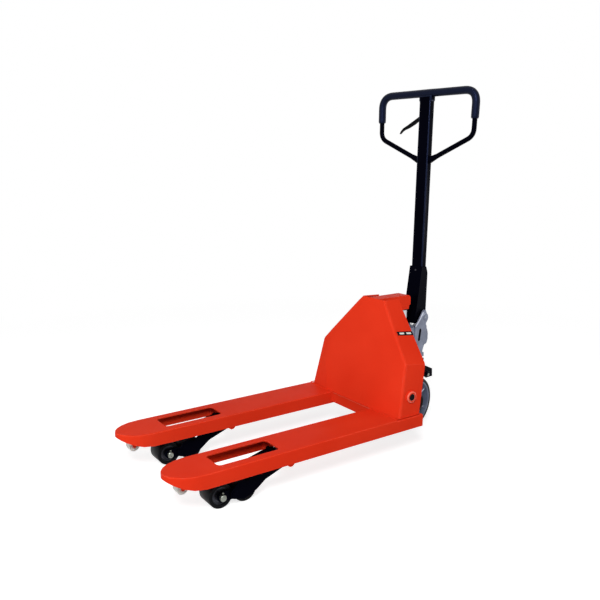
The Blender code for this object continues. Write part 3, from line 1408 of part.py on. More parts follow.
def make_lever(tilt):
    """The finger lever beside the tiller, on a pin through the tube, and the release rod that it lifts."""
    pivot_z = HANDLE_HEIGHT - LEVER_DROP
    swing = axis("lever_axis", tilt, (LEVER_PIVOT_X, 0, pivot_z))
    outline = arc((0, 0), 0.0075, -60, 120, 4)
    outline += [(-0.040, 0.004), (-0.070, -0.024), (-0.108, -0.048), (-0.122, -0.060), (-0.127, -0.070)]
    outline += [(-0.124, -0.071), (-0.112, -0.059), (-0.070, -0.037), (-0.040, -0.013)]
    face = plate(outline, LEVER_SHEET, [circle((0, 0), LEVER_PIN_RADIUS + GAP, 10)])
    face.transform(Matrix.Rotation(math.pi / 2, 4, "Z") @ Matrix.Scale(-1, 4, (0, 1, 0)))
    shape = bmesh.new()
    shape.from_mesh(face)
    bmesh.ops.recalc_face_normals(shape, faces=shape.faces)
    face = to_mesh(shape, "lever")
    lever = piece("control_lever", face, swing, "black_plastic")
    rod_x = RELEASE_X - LEVER_PIVOT_X
    hook_back = -RELEASE_BACK - RELEASE_ROD_RADIUS
    near, far = (rod_x, 0, -LEVER_HOOK_DROP), (rod_x, hook_back, -LEVER_HOOK_DROP)
    join(lever, bar(LEVER_HOOK_RADIUS, near, far, 8))
    rod_top = pivot_z - LEVER_HOOK_DROP - LEVER_HOOK_RADIUS - GAP
    mover = axis("release_rod_axis", tilt, (RELEASE_X, -RELEASE_BACK, rod_top))
    piece(
        "release_rod",
        bar(RELEASE_ROD_RADIUS, (0, 0, RUNNING_GAP - rod_top), (0, 0, 0), 12),
        mover,
        "bright_zinc",
    )


def place_on_origin(truck):
    """Move the truck so that the middle of its length stands over the origin."""
    bpy.context.view_layer.update()
    graph = bpy.context.evaluated_depsgraph_get()
    reach = []
    for item in PARTS.objects:
        if item.type != "MESH":
            continue
        evaluated = item.evaluated_get(graph)
        mesh = evaluated.to_mesh()
        reach += [(evaluated.matrix_world @ vertex.co).y for vertex in mesh.vertices]
        evaluated.to_mesh_clear()
    truck.location.y = -(min(reach) + max(reach)) / 2
    bpy.context.view_layer.update()


def build():
    truck = axis("truck", None)
    chassis = axis("chassis_origin", truck, (0, 0, LIFT_REST))
    make_forks(chassis)
    make_head(chassis)
    make_bracket(chassis)
    make_beam(chassis)
    make_bosses(chassis)
    make_frame_pins(chassis)
    make_ram(chassis)
    make_rating_plate(chassis)
    make_roller_frames(chassis)
    make_entry_rollers(chassis)
    make_push_rods(chassis)
    make_rocker(chassis)
    carriage = axis("carriage_origin", truck)
    make_thrust_plate(carriage)
    steering = axis("steering_axis", carriage, (0, 0, 0), (0, 0, STEER_REST))
    make_pump(steering)
    make_plunger(steering)
    make_carrier(steering)
    make_wheels(steering)
    make_valve_gear(steering)
    make_chain(steering)
    make_tiller_pin(steering)
    make_tiller(steering)
    place_on_origin(truck)


build()
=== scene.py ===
import json
import math

import bpy
from mathutils import Matrix, Vector

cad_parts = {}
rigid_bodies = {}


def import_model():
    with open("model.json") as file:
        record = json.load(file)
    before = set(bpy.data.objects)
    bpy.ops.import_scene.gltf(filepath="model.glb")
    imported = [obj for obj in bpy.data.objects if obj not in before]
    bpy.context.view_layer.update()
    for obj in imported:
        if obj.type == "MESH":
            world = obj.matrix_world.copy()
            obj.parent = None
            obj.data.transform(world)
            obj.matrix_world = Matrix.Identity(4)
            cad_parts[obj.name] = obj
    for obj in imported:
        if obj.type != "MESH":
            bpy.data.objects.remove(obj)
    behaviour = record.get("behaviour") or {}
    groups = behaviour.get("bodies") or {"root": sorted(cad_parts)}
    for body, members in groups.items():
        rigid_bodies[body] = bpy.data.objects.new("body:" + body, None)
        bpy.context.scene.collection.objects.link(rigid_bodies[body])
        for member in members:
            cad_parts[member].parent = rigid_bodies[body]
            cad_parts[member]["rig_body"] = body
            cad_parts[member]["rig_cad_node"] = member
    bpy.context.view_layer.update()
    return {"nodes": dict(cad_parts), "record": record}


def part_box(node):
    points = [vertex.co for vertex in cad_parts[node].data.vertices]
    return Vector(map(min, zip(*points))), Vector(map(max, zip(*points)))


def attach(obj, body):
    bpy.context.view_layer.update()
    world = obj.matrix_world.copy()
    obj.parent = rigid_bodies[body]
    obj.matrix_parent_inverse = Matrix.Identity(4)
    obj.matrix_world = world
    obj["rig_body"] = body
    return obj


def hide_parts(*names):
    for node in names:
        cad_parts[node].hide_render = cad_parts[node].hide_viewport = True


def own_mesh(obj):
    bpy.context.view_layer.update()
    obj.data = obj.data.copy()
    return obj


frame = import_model()
NODES = frame["nodes"]
BODY_OF = {name: body for body, names in frame["record"]["behaviour"]["bodies"].items() for name in names}
MM = 0.001
# Points of a mesh that lie nearer than this are one point
SAME_POINT = 0.01 * MM
SIDES = ((-1, "left"), (1, "right"))

# Where the steered and the leaning group stand: the ram's axis, then the tiller's pin on the pump
RAM = Vector((0.0, 0.4695, 0.0))
STEER_ANGLE, LEAN_ANGLE = math.radians(11.5), math.radians(-2)
TILLER_PIN = Vector((0.0, 0.096, 0.425))
STEERED = Matrix.Translation(RAM) @ Matrix.Rotation(STEER_ANGLE, 4, "Z")
TILTED = STEERED @ Matrix.Translation(TILLER_PIN) @ Matrix.Rotation(LEAN_ANGLE, 4, "X")
ACROSS = Matrix.Rotation(math.pi / 2, 4, "Y")


# Colour and node helpers
def shade(code):
    """An sRGB hex colour as linear red, green, blue and alpha."""
    parts = [int(code[i : i + 2], 16) / 255 for i in (1, 3, 5)]
    return (*[c / 12.92 if c <= 0.04045 else ((c + 0.055) / 1.055) ** 2.4 for c in parts], 1.0)


def fill(node, inputs):
    """Gives each input of a node its value, or a link from another node's output."""
    for key, value in inputs.items():
        if isinstance(value, bpy.types.NodeSocket):
            node.id_data.links.new(value, node.inputs[key])
        else:
            node.inputs[key].default_value = value


def add(tree, kind, inputs, **settings):
    """One more node in a tree, with its settings and links. Its outputs come back."""
    made = tree.nodes.new(kind)
    for name, value in settings.items():
        setattr(made, name, value)
    fill(made, inputs)
    return made.outputs


def blank(name):
    """A new material: its tree, its shader, and the object's own coordinates to lay patterns on."""
    made = bpy.data.materials.new(name)
    made.use_nodes = True
    tree = made.node_tree
    return made, tree, tree.nodes["Principled BSDF"], add(tree, "ShaderNodeTexCoord", {})["Object"]


# Finishes
def powder_coat(name, colour, deeper, roughness, gloss, tint, peel):
    """Powder coat on steel: an even film with fine orange peel, deeper or duller in patches."""
    made, tree, shader, place = blank(name)
    cloud = add(tree, "ShaderNodeTexNoise", {"Vector": place, "Scale": 1 / 0.30, "Detail": 2.0})[0]
    patch = add(tree, "ShaderNodeMapRange", {0: cloud, 1: 0.35, 2: 0.65, 3: 0.0, 4: 1.0})[0]
    tone = add(tree, "ShaderNodeMix", {0: patch, 6: shade(colour), 7: shade(deeper)}, data_type="RGBA")[2]
    haze = add(tree, "ShaderNodeTexNoise", {"Vector": place, "Scale": 1 / 0.045, "Detail": 3.0})[0]
    dull = {0: haze, 1: 0.3, 2: 0.7, 3: roughness - 0.03, 4: roughness + 0.05}
    film = add(tree, "ShaderNodeMapRange", dull)[0]
    # Orange peel is under a millimetre on the real film, drawn at 3 mm so that it shows
    grain = add(tree, "ShaderNodeTexNoise", {"Vector": place, "Scale": 1 / (3 * MM), "Detail": 1.0})[0]
    bump = add(tree, "ShaderNodeBump", {"Height": grain, "Distance": peel, "Strength": 1.0})[0]
    fill(shader, {"Base Color": tone, "Roughness": film, "Normal": bump, "IOR": 1.5})
    fill(shader, {"Specular IOR Level": gloss, "Specular Tint": shade(tint)})
    return made


def bare_metal(name, colour, darker, roughness, grain=(1.0, 1.0, 1.0)):
    """Metal with no paint: a slightly uneven tone and fine drawn or turned lines along the grain."""
    made, tree, shader, place = blank(name)
    lines = add(tree, "ShaderNodeMapping", {"Vector": place, "Scale": grain})[0]
    # Tool marks are a few tenths of a millimetre on the real piece, drawn at 2.2 mm so that they show
    marks = {"Vector": lines, "Scale": 1 / (2.2 * MM), "Detail": 3.0, "Roughness": 0.65}
    drawn = add(tree, "ShaderNodeTexNoise", marks)[0]
    cloud = add(tree, "ShaderNodeTexNoise", {"Vector": place, "Scale": 1 / 0.020, "Detail": 3.0})[0]
    both = add(tree, "ShaderNodeMath", {0: drawn, 1: cloud}, operation="MULTIPLY")[0]
    patch = add(tree, "ShaderNodeMapRange", {0: both, 1: 0.12, 2: 0.42, 3: 0.0, 4: 1.0})[0]
    tone = add(tree, "ShaderNodeMix", {0: patch, 6: shade(darker), 7: shade(colour)}, data_type="RGBA")[2]
    dull = {0: drawn, 1: 0.3, 2: 0.7, 3: roughness - 0.06, 4: roughness + 0.10}
    film = add(tree, "ShaderNodeMapRange", dull)[0]
    bump = add(tree, "ShaderNodeBump", {"Height": drawn, "Distance": 0.00005, "Strength": 1.0})[0]
    fill(shader, {"Base Color": tone, "Roughness": film, "Normal": bump, "Metallic": 1.0})
    return made


def casting(name, colour, darker, roughness, grit, metallic):
    """Cast iron under a thin silver-grey paint: small lumps and pits, darker in the hollows."""
    made, tree, shader, place = blank(name)
    # The sand's marks are about half a millimetre on the real casting, drawn coarser so that they show
    sand = {"Vector": place, "Scale": 1 / grit, "Detail": 4.0, "Roughness": 0.6}
    lumps = add(tree, "ShaderNodeTexNoise", sand)[0]
    cloud = add(tree, "ShaderNodeTexNoise", {"Vector": place, "Scale": 1 / 0.05, "Detail": 2.0})[0]
    patch = add(tree, "ShaderNodeMapRange", {0: cloud, 1: 0.3, 2: 0.7, 3: 0.0, 4: 1.0})[0]
    tone = add(tree, "ShaderNodeMix", {0: patch, 6: shade(colour), 7: shade(darker)}, data_type="RGBA")[2]
    pits = add(tree, "ShaderNodeMapRange", {0: lumps, 1: 0.30, 2: 0.42, 3: 0.0, 4: 1.0})[0]
    worn = add(tree, "ShaderNodeMix", {0: pits, 6: shade(darker), 7: tone}, data_type="RGBA")[2]
    dull = {0: lumps, 1: 0.3, 2: 0.7, 3: roughness + 0.10, 4: roughness - 0.05}
    film = add(tree, "ShaderNodeMapRange", dull)[0]
    bump = add(tree, "ShaderNodeBump", {"Height": lumps, "Distance": 0.00025, "Strength": 1.0})[0]
    fill(shader, {"Base Color": worn, "Roughness": film, "Normal": bump, "Metallic": metallic})
    fill(shader, {"Specular IOR Level": 0.25})
    return made


def moulded(name, colour, lighter, roughness, grit, depth, gloss=0.25, tint="#FFFFFF"):
    """Moulded plastic or rubber: an even tone with faint dust and a fine leathery or sandy surface."""
    made, tree, shader, place = blank(name)
    # The mould's grain is a few tenths of a millimetre on the real piece, drawn coarser so that it shows
    sand = {"Vector": place, "Scale": 1 / grit, "Detail": 3.0, "Roughness": 0.6}
    grain = add(tree, "ShaderNodeTexNoise", sand)[0]
    cloud = add(tree, "ShaderNodeTexNoise", {"Vector": place, "Scale": 1 / 0.035, "Detail": 3.0})[0]
    patch = add(tree, "ShaderNodeMapRange", {0: cloud, 1: 0.40, 2: 0.75, 3: 0.0, 4: 1.0})[0]
    tone = add(tree, "ShaderNodeMix", {0: patch, 6: shade(colour), 7: shade(lighter)}, data_type="RGBA")[2]
    dull = {0: grain, 1: 0.3, 2: 0.7, 3: roughness + 0.06, 4: roughness - 0.05}
    film = add(tree, "ShaderNodeMapRange", dull)[0]
    bump = add(tree, "ShaderNodeBump", {"Height": grain, "Distance": depth, "Strength": 1.0})[0]
    fill(shader, {"Base Color": tone, "Roughness": film, "Normal": bump, "IOR": 1.5})
    fill(shader, {"Specular IOR Level": gloss, "Specular Tint": shade(tint)})
    return made


PLAIN = "#FFFFFF"
COLD = "#8C98FF"
FINISH = {
    # Polyester powder coat in a warm orange red, half gloss: even and soft. Its bends wear a painted
    # highlight, a lighter copy of it
    "chassis_paint": powder_coat(
        "powder_coat_orange_red", "#E4391F", "#DC3219",
        roughness=0.34, gloss=0.010, tint=PLAIN, peel=0.02 * MM,
    ),
    # Half-gloss black powder coat, whose faint sheen is cold
    "black_paint": powder_coat(
        "powder_coat_black", "#030309", "#020206",
        roughness=0.26, gloss=0.015, tint=COLD, peel=0.01 * MM,
    ),
    # Injection-moulded polypropylene: satin, with a fine sandy surface
    "black_plastic": moulded(
        "polypropylene_black", "#050507", "#0A0A0D",
        roughness=0.45, grit=1.5 * MM, depth=0.04 * MM, gloss=0.04,
    ),
    # Dipped PVC grip: smooth and satin, with a slight blue sheen
    "grip_coating": moulded(
        "dipped_pvc_grip", "#060812", "#04060D",
        roughness=0.40, grit=2.5 * MM, depth=0.02 * MM, gloss=0.20, tint="#8FA6FF",
    ),
    # Cast iron under silver-grey paint, dull and a little lumpy
    "cast_grey": casting(
        "painted_grey_iron", "#858CA0", "#6A7082", roughness=0.42, grit=3.0 * MM, metallic=0.15
    ),
    # Bright zinc plate on turned steel: pale, with soft clouds in its shine
    "bright_zinc": bare_metal("zinc_plated_steel", "#949890", "#6E726B", roughness=0.32),
    # Blackened, oiled steel of bearings and pins, drawn along its length
    "plain_steel": bare_metal(
        "oiled_dark_steel", "#3C3D44", "#26262B", roughness=0.38, grain=(0.1, 1.0, 1.0)
    ),
    # Hard chrome on a ground rod, close to a mirror
    "hard_chrome": bare_metal("ground_hard_chrome", "#D0D1D4", "#BDBEC2", roughness=0.12),
    # Cast wheel centre under blue-grey paint
    "rim_grey": casting(
        "painted_wheel_centre", "#727B94", "#5E667A", roughness=0.40, grit=2.5 * MM, metallic=0.10
    ),
    # Polyurethane tread: near black and dull, with a little dust
    "black_tread": moulded(
        "tread_polyurethane", "#08080C", "#0E0E13",
        roughness=0.42, grit=2.0 * MM, depth=0.06 * MM, gloss=0.08,
    ),
    # Natural nylon: white, waxy, and lit a little from within
    "white_nylon": moulded(
        "natural_nylon", "#E6E6E0", "#D8D8D0",
        roughness=0.40, grit=1.2 * MM, depth=0.04 * MM, gloss=0.30,
    ),
    # Oil-hardened spring wire, greyish and half shiny
    "spring_steel": bare_metal("spring_wire", "#77797F", "#505257", roughness=0.36),
}
fill(
    FINISH["white_nylon"].node_tree.nodes["Principled BSDF"],
    {"Subsurface Weight": 0.35, "Subsurface Radius": (0.004, 0.004, 0.004)},
)

# Painted highlights that the bends and edges of a piece wear, by the finish of its faces: lighter copies of
# that finish
EDGES = {
    # The same red coat over the bends of the sheet, shinier and painted a lighter pink: a painted highlight
    # line
    "chassis_paint": powder_coat(
        "painted_highlight_red_bends", "#FF7A62", "#FA6C52",
        roughness=0.20, gloss=0.60, tint=PLAIN, peel=0.01 * MM,
    ),
    # The black coat over a bend, painted a lighter cold blue: a painted highlight line
    "black_paint": powder_coat(
        "painted_highlight_black_bends", "#0D1324", "#0A0F1D",
        roughness=0.30, gloss=0.16, tint="#A0B0FF", peel=0.01 * MM,
    ),
    # Edges of the wheel centre's webs, painted pale: a painted highlight
    "rim_grey": casting(
        "painted_highlight_webs", "#DDE4F8", "#BEC6DE", roughness=0.28, grit=2.5 * MM, metallic=0.20
    ),
    # Cast edges and ribs painted pale and made shinier: a painted highlight
    "cast_grey": casting(
        "painted_highlight_iron_edges", "#DCE2F0", "#B4BACA", roughness=0.28, grit=3.0 * MM, metallic=0.30
    ),
}
# Painted shade: a near-black copy of the casting between the ears of the pump and in their slots, where
# shade falls
PAINTED_SHADE = casting("painted_shade_iron", "#17181E", "#0D0E12", roughness=0.36, grit=3.0 * MM, metallic=0.10)

SLOT_OF = {row["node"]: row["material_slot"] for row in frame["record"]["subparts"]}
for name, node in NODES.items():
    node.data.materials.clear()
    node.data.materials.append(FINISH[SLOT_OF[name]])


# Making and keeping pieces
def deselect():
    for item in bpy.context.view_layer.objects.selected:
        item.select_set(False)


def only(obj):
    deselect()
    obj.select_set(True)
    bpy.context.view_layer.objects.active = obj


def keep(obj, name, body, finish, replaced=(), angle=35):
    """Names a finished piece, gives it its finish and body, and hides the plain solids it stands for."""
    obj.name = name
    obj.data.name = name
    if not obj.data.materials:
        obj.data.materials.append(FINISH[finish])
    only(obj)
    bpy.ops.object.shade_smooth_by_angle(angle=math.radians(angle))
    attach(obj, body)
    if replaced:
        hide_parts(*replaced)
    return obj


def softened(node, width, angle=28, segments=2):
    """A copy of a plain solid with its edges rolled over, which stands for it."""
    source = NODES[node]
    obj = source.copy()
    obj.data = source.data.copy()
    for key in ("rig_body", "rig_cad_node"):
        if key in obj:
            del obj[key]
    bpy.context.scene.collection.objects.link(obj)
    obj.parent = None
    only(obj)
    bpy.ops.object.mode_set(mode="EDIT")
    bpy.ops.mesh.select_all(action="SELECT")
    bpy.ops.mesh.remove_doubles(threshold=SAME_POINT)
    bpy.ops.mesh.dissolve_limited(angle_limit=math.radians(0.7))
    bpy.ops.object.mode_set(mode="OBJECT")
    roll = obj.modifiers.new("rolled_edges", "BEVEL")
    roll.width = width
    roll.segments = segments
    roll.limit_method = "ANGLE"
    roll.angle_limit = math.radians(angle)
    roll.use_clamp_overlap = True
    # The rolled edges wear a lighter copy of the finish: a painted highlight
    if SLOT_OF[node] in EDGES:
        obj.data.materials.append(EDGES[SLOT_OF[node]])
        # The bends of the ram bracket wear the same coat as its faces
        roll.material = 0 if node == "ram_bracket" else 1
    bpy.ops.object.modifier_apply(modifier=roll.name)
    keep(obj, node + "_rolled", BODY_OF[node], SLOT_OF[node], (node,), 40)
    # Flat faces stay flat up to their rolled edges
    flat = obj.modifiers.new("flat_faces", "WEIGHTED_NORMAL")
    flat.keep_sharp = True
    bpy.ops.object.modifier_apply(modifier=flat.name)
    return obj


def lathe(rings, steps=64, closed=False):
    """A round piece drawn up from a circle: each (radius, height) is one more pull of the last ring."""
    deselect()
    inside = "NOTHING" if closed else "NGON"
    bpy.ops.mesh.primitive_circle_add(vertices=steps, radius=rings[0][0], fill_type=inside)
    obj = bpy.context.object
    bpy.ops.object.mode_set(mode="EDIT")
    bpy.ops.mesh.select_all(action="SELECT")
    bpy.ops.transform.translate(value=(0, 0, rings[0][1]))
    last = rings[0]
    for ring in rings[1:] + (rings[:1] if closed else []):
        bpy.ops.mesh.extrude_region_move(TRANSFORM_OT_translate={"value": (0, 0, ring[1] - last[1])})
        share = ring[0] / last[0]
        if not math.isclose(share, 1):
            bpy.ops.transform.resize(value=(share, share, 1), center_override=(0, 0, ring[1]))
        last = ring
    bpy.ops.mesh.select_all(action="SELECT")
    if closed:
        bpy.ops.mesh.remove_doubles(threshold=SAME_POINT)
    bpy.ops.mesh.normals_make_consistent(inside=False)
    bpy.ops.object.mode_set(mode="OBJECT")
    return obj


def mirrored(rings):
    """Rings of one half of a round piece, and the same rings again on the other side."""
    return rings + [(radius, -height) for radius, height in reversed(rings)]


def move(obj, matrix):
    """Puts the mesh at its place and leaves the object at the origin."""
    obj.data.transform(matrix)
    obj.data.update()
    return obj


# Edges of the pressed, cast and cut pieces, rolled over. The rolled edges wear a painted highlight where
# the piece's finish has one
for _, word in SIDES:
    softened(f"fork_{word}", 2.8 * MM, 28, 3)
    softened(f"roller_frame_{word}", 0.9 * MM)
    softened(f"push_rod_{word}", 1.0 * MM)
    softened(f"pivot_boss_{word}", 1.2 * MM)
    for where in ("inner", "outer"):
        softened(f"roller_link_{word}_{where}", 0.9 * MM)
    NODES[f"frame_pin_{word}"].data.materials[0] = FINISH["plain_steel"]
softened("head_plate", 2.2 * MM, 12)
softened("ram_bracket", 2.2 * MM, 28, 3)
softened("cross_member", 1.4 * MM)
softened("rating_plate", 0.3 * MM)
softened("wheel_carrier", 1.6 * MM)
softened("thrust_plate", 1.6 * MM)
softened("tiller_sleeve", 1.5 * MM)
for node in ("valve_bracket", "valve_lever", "rocker", "plunger_cap"):
    softened(node, 0.7 * MM)
NODES["gland_nut"].data.materials[0] = FINISH["cast_grey"]


# Pump: painted shade in the slots of its ears and on the walls between them
# Each box is in the steered frame, with x as the distance from the pump's middle
EAR_SLOT = ((0.033, 0.047, 0.333), (1.0, 0.072, 0.387))
BETWEEN_EARS = ((-1.0, 0.030, 0.290), (0.034, 1.0, 0.400))


def within(point, box):
    return all(low < value < high for low, value, high in zip(box[0], point, box[1]))


def pump_with_painted_shade():
    pump = softened("pump_body", 2.2 * MM, 28, 3)
    shade_index = len(pump.data.materials)
    pump.data.materials.append(PAINTED_SHADE)
    back = STEERED.inverted()
    for face in pump.data.polygons:
        x, y, z = back @ face.center
        faces_sideways = abs((back.to_3x3() @ face.normal).x) > 0.9
        if within((abs(x), y, z), BETWEEN_EARS if faces_sideways else EAR_SLOT):
            # These faces wear the painted shade
            face.material_index = shade_index


pump_with_painted_shade()


# Lines, beads and small turned parts
def spaced(points, gap):
    """The same line of points with a new one at every gap."""
    points = [Vector(p) for p in points]
    made = [points[0]]
    for start, end in zip(points, points[1:]):
        count = max(1, round((end - start).length / gap))
        made += [start.lerp(end, (i + 1) / count) for i in range(count)]
    return made


def corner(points, radius, steps=8):
    """A line through corner points with each inner corner rounded to a radius."""
    points = [Vector(p) for p in points]
    made = [points[0]]
    for before, at, after in zip(points, points[1:], points[2:]):
        back, on = (before - at).normalized(), (after - at).normalized()
        reach = radius / math.tan(back.angle(on) / 2)
        start, end = at + back * reach, at + on * reach
        for i in range(steps + 1):
            t = i / steps
            made.append(start * (1 - t) ** 2 + at * 2 * t * (1 - t) + end * t * t)
    return made + [points[-1]]


def round_bar(points, radius, sides=4, swell=None, loop=False):
    """A round bar along a line of points, closed at its ends, and thicker or thinner where swell says."""
    data = bpy.data.curves.new("line", "CURVE")
    data.dimensions = "3D"
    data.bevel_depth = radius
    data.bevel_resolution = sides
    data.use_fill_caps = not loop
    line = data.splines.new("POLY")
    line.points.add(len(points) - 1)
    line.use_cyclic_u = loop
    for i, point in enumerate(points):
        line.points[i].co = (*point, 1)
        if swell:
            line.points[i].radius = swell[i]
    obj = bpy.data.objects.new("line", data)
    bpy.context.scene.collection.objects.link(obj)
    only(obj)
    bpy.ops.object.convert(target="MESH")
    obj = bpy.context.object
    bpy.ops.object.mode_set(mode="EDIT")
    bpy.ops.mesh.select_all(action="SELECT")
    bpy.ops.mesh.remove_doubles(threshold=SAME_POINT)
    bpy.ops.mesh.normals_make_consistent(inside=False)
    bpy.ops.object.mode_set(mode="OBJECT")
    return obj


def bead(points, width, loop=False):
    """A weld bead: a low round line with even ripples, and a slower wave so that no two are alike."""
    step, ripple = 0.8 * MM, 3.2 * MM
    line = spaced(points, step)
    turn, slow = math.tau * step / ripple, 0.37
    swell = [1 + 0.16 * math.sin(i * turn) + 0.10 * math.sin(i * slow) for i in range(len(line))]
    return round_bar(line, width / 2, 1, swell, loop)


def merged(objects):
    """Several meshes made one piece."""
    deselect()
    for item in objects:
        item.select_set(True)
    bpy.context.view_layer.objects.active = objects[0]
    if len(objects) > 1:
        bpy.ops.object.join()
    return objects[0]


def slab(low, high, roll=0.8 * MM, segments=2, finish=None):
    """A block between two corners with rolled edges, which wear the painted highlight of the finish it is
    given.
    """
    low, high = Vector(low), Vector(high)
    deselect()
    bpy.ops.mesh.primitive_cube_add(size=1, location=(low + high) / 2)
    obj = bpy.context.object
    obj.scale = high - low
    bpy.ops.object.transform_apply(location=True, rotation=True, scale=True)
    if finish:
        obj.data.materials.append(FINISH[finish])
        obj.data.materials.append(EDGES[finish])
    bpy.ops.object.mode_set(mode="EDIT")
    bpy.ops.mesh.select_all(action="SELECT")
    bpy.ops.mesh.bevel(offset=roll, segments=segments, affect="EDGES", material=1 if finish else -1)
    bpy.ops.object.mode_set(mode="OBJECT")
    return obj


def aimed(place, direction):
    """Where a part drawn up along Z goes when it points another way."""
    turn = Vector(direction).to_track_quat("Z", "Y").to_matrix().to_4x4()
    return Matrix.Translation(place) @ turn


def hex_bolt(place, direction, across, height):
    """A hexagon head with a chamfered top."""
    reach = across / math.sqrt(3)
    chamfer, narrower = 0.9 * MM, 0.86
    head = lathe([(reach, 0.0), (reach, height - chamfer), (reach * narrower, height)], 6)
    return move(head, aimed(place, direction))


# Load rollers: a tread with rounded shoulders on a hub with a stepped face and a bearing
def load_rollers():
    half, face = 35 * MM, 31 * MM
    tread = [(0.0283, half - 0.0010), (0.0290, half), (0.0325, half), (0.0331, half - 0.0012)]
    tread += [(0.0343, half - 0.0012), (0.0349, half), (0.0378, half), (0.0392, half - 0.0006)]
    tread += [(0.0400, half - 0.0022)]
    hub = [(0.0280, face - 0.0006), (0.0275, face), (0.0240, face), (0.0232, face - 0.0030)]
    hub += [(0.0180, face - 0.0030), (0.0174, face - 0.0012), (0.0150, face - 0.0012)]
    hub += [(0.0146, face - 0.0030), (0.0110, face - 0.0030), (0.0106, face - 0.0006)]
    hub += [(0.0083, face - 0.0006)]
    for _, word in SIDES:
        for end in ("front", "rear"):
            which = f"{word}_{end}"
            low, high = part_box(f"roller_tread_{which}")
            at = Matrix.Translation((low + high) / 2) @ ACROSS
            body = BODY_OF[f"roller_tread_{which}"]
            ring = move(lathe(mirrored(tread), 72, True), at)
            keep(ring, f"load_roller_{which}_tread", body, "black_tread", (f"roller_tread_{which}",))
            core = move(lathe(mirrored(hub), 56, True), at)
            keep(core, f"load_roller_{which}_hub", body, "plain_steel", (f"roller_hub_{which}",))


load_rollers()


# Front axles: pale ends with a chamfer and a centre mark, and a lock screw over each on the link
def front_axles():
    screw = [(0.0026, -0.0002), (0.0030, 0.0004), (0.0030, 0.0020), (0.0024, 0.0027), (0.0012, 0.0028)]
    for _, word in SIDES:
        node = f"roller_axle_{word}_front"
        low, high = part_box(node)
        middle = (low + high) / 2
        half = (high.x - low.x) / 2
        shaft = [(0.0024, -half + 0.7 * MM), (0.0036, -half), (0.0086, -half), (0.0103, -half + 1.5 * MM)]
        shaft += [(0.0103, -0.0419), (0.0080, -0.0417)]
        axle = move(lathe(mirrored(shaft), 40), Matrix.Translation(middle) @ ACROSS)
        keep(axle, node + "_turned", BODY_OF[node], "bright_zinc", (node,))
        for side, end in ((-1, "a"), (1, "b")):
            at = aimed(middle + Vector((side * 0.0415, 0.0035, 0.0122)), (side, 0, 0))
            keep(move(lathe(screw, 20), at), f"axle_screw_{word}_{end}", BODY_OF[node], "bright_zinc")


front_axles()


# Steering wheels: a dull tread on a cast centre with six webs, and a hub cap
WHEEL_HALF = 25 * MM


def wheel_centre():
    web = 4.6 * MM
    ring = [(0.0870, WHEEL_HALF), (0.0810, WHEEL_HALF), (0.0797, WHEEL_HALF - 0.0020)]
    ring += [(0.0780, web + 0.004), (0.0755, web), (0.0375, web), (0.0345, web + 0.004)]
    ring += [(0.0330, 0.0165), (0.0300, 0.0170), (0.0129, 0.0170)]
    parts = [lathe(mirrored(ring), 72, True)]
    parts[0].data.materials.append(FINISH["rim_grey"])
    for i in range(6):
        # The webs' rolled edges wear the rim's painted pale highlight
        spoke = slab((0.0325, -0.0034, -0.0165), (0.0790, 0.0034, 0.0165), 1.8 * MM, 2, "rim_grey")
        parts.append(move(spoke, Matrix.Rotation(i * math.tau / 6, 4, "Z")))
    return merged(parts)


def steering_wheels():
    tread = [(0.0872, -WHEEL_HALF), (0.0965, -WHEEL_HALF), (0.0985, -WHEEL_HALF + 0.0010)]
    tread += [(0.0998, -WHEEL_HALF + 0.0032), (0.1000, -WHEEL_HALF + 0.006)]
    cap = [(0.0350, 0.0173), (0.0355, 0.0180), (0.0355, 0.0318), (0.0345, 0.0338), (0.0320, 0.0352)]
    cap += [(0.0270, 0.0355), (0.0255, 0.0345), (0.0060, 0.0347)]
    for side, word in SIDES:
        turn = Matrix.Rotation(side * math.pi / 2, 4, "Y")
        at = STEERED @ Matrix.Translation((side * 0.0535, 0, 0.1)) @ turn
        body = f"wheel_{word}"
        ring = move(lathe(mirrored(tread), 96, True), at)
        keep(ring, f"steer_tread_{word}", body, "black_tread", (f"wheel_tread_{word}",))
        keep(move(wheel_centre(), at), f"steer_centre_{word}", body, "rim_grey", (f"wheel_rim_{word}",))
        keep(move(lathe(cap, 48), at), f"steer_cap_{word}", body, "black_plastic", (f"hub_cap_{word}",))


steering_wheels()


# Handle: the loop's thin tube, one dipped grip that runs round the top, and beads where it meets the tiller
LOOP_TOP = 0.874
LOOP_HALF = 0.214


def two_legs(leg, radius):
    """The left and the right half of the loop's line, each from the middle of the top to its end."""
    halves = []
    for side, _ in SIDES:
        halves.append(corner([(side * x, 0, LOOP_TOP - drop) for x, drop in leg], radius, 14))
    return halves


def loop_tube():
    leg = [(0.10, 0), (LOOP_HALF, 0), (LOOP_HALF - 0.003, 0.166), (0.060, 0.237), (0.027, 0.252)]
    left, right = two_legs(leg, 0.043)
    line = list(reversed(left)) + right
    # The tube widens into its weld at each end
    reach, wider = 34 * MM, 0.4
    ends = [min((point - line[0]).length, (point - line[-1]).length) for point in line]
    swell = [1 + wider - wider * min(1.0, end / reach) for end in ends]
    return round_bar(line, 9.3 * MM, 8, swell)


def dipped_grip():
    left, right = two_legs([(0.02, 0), (LOOP_HALF, 0), (LOOP_HALF - 0.002, 0.104)], 0.050)
    line = list(reversed(spaced(right, 4 * MM))) + spaced(left, 4 * MM)
    runs = [0.0]
    for before, point in zip(line, line[1:]):
        runs.append(runs[-1] + (point - before).length)
    # A rounded lip at each end, and a little more coating over the saddle in the middle
    lip, saddle = 6 * MM, 45 * MM
    swell = []
    for run in runs:
        edge = min(run, runs[-1] - run)
        soft = 1.0 if edge > lip else 0.86 + 0.14 * math.sin(edge / lip * math.pi / 2)
        middle = abs(run - runs[-1] / 2)
        swell.append(soft * (1.0 + 0.05 * max(0.0, 1 - middle / saddle)))
    return round_bar(line, 14.7 * MM, 9, swell)


